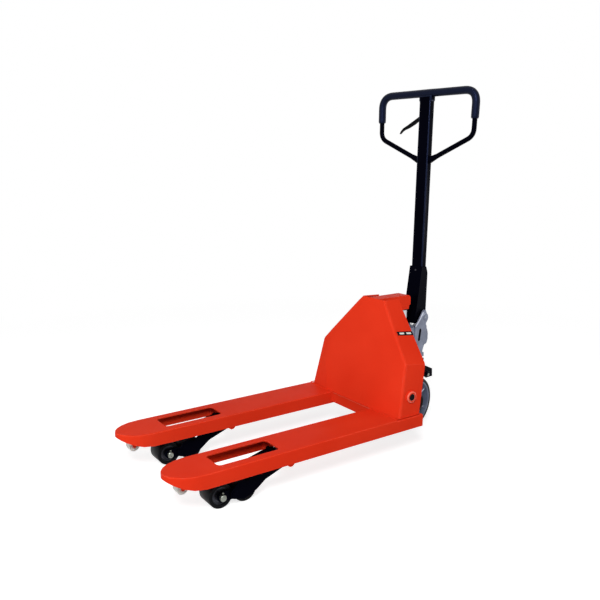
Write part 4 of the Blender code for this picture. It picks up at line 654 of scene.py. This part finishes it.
def handle():
    keep(move(loop_tube(), TILTED), "handle_tube", "tiller", "black_paint", ("handle_loop",), 50)
    grip = move(dipped_grip(), TILTED)
    keep(grip, "dipped_grip", "tiller", "grip_coating", ("grip_left", "grip_right"), 60)
    # Each leg is welded to a side of the tiller tube, with a bead round its end
    wall, height, steps = 26.2 * MM, LOOP_TOP - 254.5 * MM, 24
    for side, word in SIDES:
        ring = []
        for i in range(steps):
            turn = i * math.tau / steps
            across, up = 10.0 * MM * math.cos(turn), 11.8 * MM * math.sin(turn)
            ring.append((side * wall, across, height + up))
        keep(move(bead(ring, 4.2 * MM, True), TILTED), f"leg_bead_{word}", "tiller", "black_paint")


handle()


# Tiller tube: a box section with a slot for the finger lever and a saddle under the grip
LEVER_PIN = Vector((0.010, 0.0, 0.794))


def tiller_tube():
    top = 0.864
    # The tube's and saddle's rolled edges wear the black coat's painted cold highlight
    tube = slab((-0.025, -0.015, 0.030), (0.025, 0.015, top), 4.2 * MM, 4, "black_paint")
    low, high = (-0.0285, -0.0148, top - 0.022), (0.0285, 0.0148, top + 0.002)
    saddle = slab(low, high, 5.0 * MM, 3, "black_paint")
    slot = slab((-0.040, -0.006, 0.750), (-0.020, 0.006, 0.812), 0.1 * MM, 1)
    cut = tube.modifiers.new("slot", "BOOLEAN")
    cut.operation = "DIFFERENCE"
    cut.solver = "EXACT"
    cut.object = slot
    only(tube)
    bpy.ops.object.modifier_apply(modifier=cut.name)
    bpy.data.objects.remove(slot)
    pin = lathe(mirrored([(0.0026, -0.0172), (0.0034, -0.0166)]), 20)
    pin.data.materials.append(FINISH["black_paint"])
    move(pin, aimed(LEVER_PIN, (0, 1, 0)))
    piece = merged([tube, saddle, pin])
    keep(move(piece, TILTED), "box_tube", "tiller", "black_paint", ("tiller_tube",), 50)


tiller_tube()


# Finger lever: a pressed blade, deep at its root and hooked at its tip
def finger_lever():
    thickness = 9.6 * MM
    above = [(0.006, 0.0070), (-0.014, 0.0050), (-0.036, -0.0035), (-0.062, -0.0185), (-0.094, -0.0370)]
    above += [(-0.114, -0.0475), (-0.1235, -0.0570), (-0.1305, -0.0690)]
    below = [(-0.1270, -0.0705), (-0.1180, -0.0615), (-0.1080, -0.0555), (-0.084, -0.0470)]
    below += [(-0.060, -0.0350), (-0.040, -0.0215), (-0.014, -0.0110), (0.006, -0.0070)]
    # A disc whose rim is pulled to the blade's outline, then drawn out to its thickness
    deselect()
    bpy.ops.mesh.primitive_circle_add(vertices=len(above) + len(below), radius=0.1, fill_type="NGON")
    blade = bpy.context.object
    for vertex, (x, z) in zip(blade.data.vertices, above + below):
        vertex.co = (x, -thickness / 2, z)
    bpy.ops.object.mode_set(mode="EDIT")
    bpy.ops.mesh.select_all(action="SELECT")
    bpy.ops.mesh.extrude_region_move(TRANSFORM_OT_translate={"value": (0, thickness, 0)})
    bpy.ops.mesh.select_all(action="SELECT")
    bpy.ops.mesh.normals_make_consistent(inside=False)
    bpy.ops.object.mode_set(mode="OBJECT")
    roll = blade.modifiers.new("rolled_edges", "BEVEL")
    roll.width = 0.0016
    roll.segments = 2
    roll.limit_method = "ANGLE"
    roll.angle_limit = math.radians(40)
    bpy.ops.object.modifier_apply(modifier=roll.name)
    at = TILTED @ Matrix.Translation(LEVER_PIN)
    keep(move(blade, at), "finger_lever", "control_lever", "black_plastic", ("control_lever",))


finger_lever()


# Release chain: one link copied along its length, each turned a quarter from the last, and the end button
def release_chain():
    low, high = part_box("release_chain")
    middle = (low + high) / 2
    pitch, wire, bend, reach = 11.0 * MM, 0.8 * MM, 2.3 * MM, 4.2 * MM
    button_room, steps = 12 * MM, 20
    line = []
    for i in range(steps):
        turn = math.tau * (i + 0.5) / steps
        side = reach if math.sin(turn) > 0 else -reach
        line.append((bend * math.cos(turn), 0, bend * math.sin(turn) + side))
    link = round_bar(line, wire, 2, None, True)
    parts = [link]
    count = int((high.z - low.z - button_room) / pitch)
    for i in range(1, count):
        twin = link.copy()
        twin.data = link.data.copy()
        bpy.context.scene.collection.objects.link(twin)
        quarter = Matrix.Rotation(i * math.pi / 2, 4, "Z")
        parts.append(move(twin, Matrix.Translation((0, 0, -i * pitch)) @ quarter))
    end = 4 * MM - count * pitch
    button = [(0.0036, end - 0.0145), (0.0045, end - 0.013), (0.0044, end - 0.008)]
    button += [(0.0016, end - 0.006), (0.0016, end)]
    parts.append(lathe(button, 20))
    top = Vector((middle.x, middle.y, high.z - reach - bend - 1 * MM))
    piece = move(merged(parts), Matrix.Translation(top))
    keep(piece, "chain_links", "release_chain", "plain_steel", ("release_chain",))


release_chain()


# Plunger spring: five open turns between two closed ones
def plunger_spring():
    low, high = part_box("plunger_spring")
    middle = (low + high) / 2
    wire, radius, turns, steps = 2.0 * MM, 18.5 * MM, 7, 24
    foot, head = low.z + wire, high.z - wire
    # The closed turn at each end climbs hardly more than the wire is thick
    end, climb, closed_rise = 0.9, 2.1 * MM, 3.8 * MM
    line = []
    for i in range(turns * steps + 1):
        turn = i / steps
        share = min(max((turn - end) / (turns - 2 * end), 0.0), 1.0)
        closed = climb * (min(turn, end) + max(turn - turns + end, 0.0))
        height = min(foot + closed + (head - foot - closed_rise) * share, head)
        line.append((radius * math.cos(math.tau * turn), radius * math.sin(math.tau * turn), height))
    at = Matrix.Translation((middle.x, middle.y, 0))
    wound = move(round_bar(line, wire, 3), at)
    keep(wound, "spring_wound", "steering", "spring_steel", ("plunger_spring",), 60)
    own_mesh(wound)


plunger_spring()


# Cast ribs on the ears of the pump: one down the front edge and a thin one over the pin, painted pale all
# over as a highlight
def ear_ribs():
    front = [(0.0815, 0.4500), (0.0733, 0.4390), (0.0668, 0.4299), (0.0488, 0.4124), (0.0305, 0.3970)]
    over = [(0.0745, 0.4335), (0.0800, 0.4375), (0.0860, 0.4399), (0.0920, 0.4408), (0.0975, 0.4400)]
    for side, word in SIDES:
        for line, radius, name in ((front, 2.6 * MM, "front"), (over, 1.4 * MM, "over")):
            points = spaced([(side * 0.0427, y, z) for y, z in line], 2 * MM)
            last = len(points) - 1
            # Thick in the middle, thin at both ends
            shares = [min(i, last - i) / last for i in range(last + 1)]
            swell = [0.45 + 0.55 * math.sin(math.pi * share) ** 0.4 for share in shares]
            rib = round_bar(points, radius, 3, swell)
            # The whole rib wears the pale painted highlight of the cast edges
            rib.data.materials.append(EDGES["cast_grey"])
            keep(move(rib, STEERED), f"ear_rib_{name}_{word}", "steering", "cast_grey", (), 60)


ear_ribs()


# Tiller pin with domed ends, and the hexagon bolts of the valve bracket
def pins_and_bolts():
    reach = 45.5 * MM
    shank = [(0.0012, -reach), (0.0034, -reach + 0.0007), (0.0060, -reach + 0.0024)]
    shank += [(0.0070, -reach + 0.0042)]
    pin = move(lathe(mirrored(shank), 32), STEERED @ Matrix.Translation(TILLER_PIN) @ ACROSS)
    keep(pin, "tiller_pin_turned", BODY_OF["tiller_pin"], "bright_zinc", ("tiller_pin",))
    for side, word in SIDES:
        place = STEERED @ Vector((side * 0.0412, 0.128, 0.179))
        out = STEERED.to_3x3() @ Vector((side, 0, 0))
        bolt = hex_bolt(place, out, 13 * MM, 6.5 * MM)
        keep(bolt, f"valve_bolt_{word}", "steering", "bright_zinc")


pins_and_bolts()


# Sleeve rivets, and the rings round the tiller pin
def tiller_fixings():
    # The rivet sits near the top of the sleeve's face towards the forks, square to it
    foot, head = Vector((0, -0.0530, -0.0200)), Vector((0, -0.0193, 0.2050))
    along = (head - foot).normalized()
    rivet = [(0.0042, -0.0002), (0.0042, 0.0006), (0.0034, 0.0015), (0.0018, 0.0020)]
    at = TILTED @ aimed(head - along * 15 * MM, (0, -along.z, along.y))
    keep(move(lathe(rivet, 24), at), "sleeve_rivet", "tiller", "plain_steel")
    for side, word in SIDES:
        place = STEERED @ (TILLER_PIN + Vector((side * 0.0436, 0, 0)))
        out = STEERED.to_3x3() @ Vector((side, 0, 0))
        ring = lathe([(0.0108, 0.0), (0.0112, 0.0004), (0.0112, 0.0012), (0.0108, 0.0016)], 32)
        keep(move(ring, aimed(place, out)), f"pin_washer_{word}", "steering", "cast_grey")


tiller_fixings()


# Rating plate: two blank pale fields on the black plate
def plate_fields():
    data = NODES["rating_plate"].data
    normal = max((p for p in data.polygons if p.normal.x > 0.3), key=lambda p: p.area).normal.copy()
    rim = {i for p in data.polygons if p.normal.dot(normal) > 0.999 for i in p.vertices}
    corners = [data.vertices[i].co.copy() for i in rim]
    centre = sum(corners, Vector()) / len(corners)
    sides = sorted((corner - corners[0] for corner in corners[1:]), key=lambda side: side.length)
    near = next(side for side in sides if side.length > MM)
    far = next(side for side in sides if side.length > 2 * near.length)
    at = Matrix((far.normalized(), normal.cross(far.normalized()), normal)).transposed().to_4x4()
    at.translation = centre
    long, up = far.length, near.length * 0.22
    # Where each field starts and ends, in shares of the plate's length from its middle
    for i, (start, end) in enumerate(((-0.36, -0.08), (0.08, 0.38))):
        field = slab((long * start, -up, -0.05 * MM), (long * end, up, 0.25 * MM), 0.05 * MM, 1)
        keep(move(field, at), f"plate_field_{i + 1}", "chassis", "white_nylon")


plate_fields()


# Weld beads of the chassis
def chassis_beads():
    lines = {
        "head_foot": [(-0.2605, 0.2088, 0.1462), (0.2605, 0.2088, 0.1462)],
        "foot_side_left": [(-0.2632, 0.2110, 0.1468), (-0.2632, 0.3150, 0.1468)],
        "foot_side_right": [(0.2632, 0.2110, 0.1468), (0.2632, 0.3150, 0.1468)],
        "beam_left": [(-0.1150, 0.2092, 0.1440), (-0.1150, 0.2092, 0.1035)],
        "beam_right": [(0.1150, 0.2092, 0.1440), (0.1150, 0.2092, 0.1035)],
    }
    for name, line in lines.items():
        keep(bead(line, 4.0 * MM), name + "_bead", "chassis", "chassis_paint", (), 60)
    # A bead round each boss, where it comes out of the head's side
    radius, wall, steps = 21.8 * MM, 255.2 * MM, 48
    for side, word in SIDES:
        low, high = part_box(f"pivot_boss_{word}")
        _, y, z = (low + high) / 2
        ring = []
        for i in range(steps):
            turn = i * math.tau / steps
            ring.append((side * wall, y + radius * math.cos(turn), z + radius * math.sin(turn)))
        keep(bead(ring, 4.0 * MM, True), f"boss_bead_{word}", "chassis", "chassis_paint", (), 60)


chassis_beads()


# Camera: the photograph's own view
def camera():
    turn, down, roll = math.radians(55.42), math.radians(11.34), math.radians(-0.22)
    forward = Vector((-math.sin(turn) * math.cos(down), math.cos(turn) * math.cos(down), -math.sin(down)))
    right = Vector((math.cos(turn), math.sin(turn), 0))
    up = right.cross(forward)
    right, up = right * math.cos(roll) + up * math.sin(roll), up * math.cos(roll) - right * math.sin(roll)
    data = bpy.data.cameras.new("view")
    data.sensor_width = 36
    data.lens = 41.158
    data.shift_x = -0.00242
    data.shift_y = 0.00308
    data.clip_end = 60
    obj = bpy.data.objects.new("view", data)
    stand = Matrix.Translation((1.9603, -1.3684, 1.0320))
    obj.matrix_world = stand @ Matrix((right, up, -forward)).transposed().to_4x4()
    bpy.context.scene.collection.objects.link(obj)
    bpy.context.scene.camera = obj


camera()


# Studio: a plain pale floor that runs up to a white surround, and soft lamps
WORLD_LIGHT = 0.20
FLOOR_GLOW = 0.78
WHITE = (1, 1, 1, 1)
GREY = (0.50, 0.50, 0.50, 1)
# Each lamp's name, its place, the point it is aimed at, its power in watts and its diameter
LAMPS = (
    ("key_lamp", (2.3, -1.9, 2.7), (0, 0, 0.45), 106, 1.3),
    ("front_lamp", (0.2, -3.6, 1.2), (0, 0, 0.45), 28, 1.8),
    ("back_lamp", (1.9, 3.4, 0.6), (0, 0, 0.45), 20, 0.9),
    ("top_lamp", (0.55, -0.25, 3.8), (0, -0.2, 0.2), 6, 0.35),
)


def background_share(tree):
    """1 for a ray from the eye, straight, mirrored or through glass, and 0 for light on the object."""
    rays = add(tree, "ShaderNodeLightPath", {})
    eye = {0: rays["Is Camera Ray"], 1: rays["Is Glossy Ray"]}
    seen = add(tree, "ShaderNodeMath", eye, operation="MAXIMUM")[0]
    return add(tree, "ShaderNodeMath", {0: seen, 1: rays["Is Transmission Ray"]}, operation="MAXIMUM")[0]


def studio():
    world = bpy.data.worlds.new("studio")
    bpy.context.scene.world = world
    world.use_nodes = True
    tree = world.node_tree
    tree.nodes.clear()
    seen = background_share(tree)
    dim = add(tree, "ShaderNodeBackground", {"Color": WHITE, "Strength": WORLD_LIGHT})[0]
    bright = add(tree, "ShaderNodeBackground", {"Color": WHITE, "Strength": 1.0})[0]
    both = add(tree, "ShaderNodeMixShader", {0: seen, 1: dim, 2: bright})[0]
    add(tree, "ShaderNodeOutputWorld", {"Surface": both})

    deselect()
    bpy.ops.mesh.primitive_plane_add(size=60, location=(0, 0, -0.0006))
    floor = bpy.context.object
    floor.name = "studio_floor"
    paint, tree, shader, place = blank("matt_white_floor")
    glow = add(tree, "ShaderNodeMath", {0: background_share(tree), 1: FLOOR_GLOW}, operation="MULTIPLY")[0]
    grain = add(tree, "ShaderNodeTexNoise", {"Vector": place, "Scale": 1 / (4 * MM)})[0]
    bump = add(tree, "ShaderNodeBump", {"Height": grain, "Distance": 0.0001})[0]
    fill(shader, {"Base Color": GREY, "Roughness": 0.9, "Specular IOR Level": 0.1, "Normal": bump})
    fill(shader, {"Emission Color": WHITE, "Emission Strength": glow})
    # Far from the object the floor is as white as the surround, so that no horizon shows
    spot = add(tree, "ShaderNodeVectorMath", {0: place}, operation="LENGTH")["Value"]
    far = add(tree, "ShaderNodeMapRange", {0: spot, 1: 1.6, 2: 3.0, 3: 0.0, 4: 1.0})[0]
    glare = add(tree, "ShaderNodeEmission", {"Color": WHITE, "Strength": 1.0})[0]
    both = add(tree, "ShaderNodeMixShader", {0: far, 1: shader.outputs[0], 2: glare})[0]
    fill(tree.nodes["Material Output"], {"Surface": both})
    floor.data.materials.append(paint)

    for name, place, aim, power, size in LAMPS:
        data = bpy.data.lights.new(name, "AREA")
        data.shape = "DISK"
        data.size = size
        data.energy = power
        lamp = bpy.data.objects.new(name, data)
        lamp.location = place
        lamp.rotation_euler = (Vector(aim) - Vector(place)).to_track_quat("-Z", "Y").to_euler()
        bpy.context.scene.collection.objects.link(lamp)


studio()
bpy.context.scene.view_settings.view_transform = "Standard"
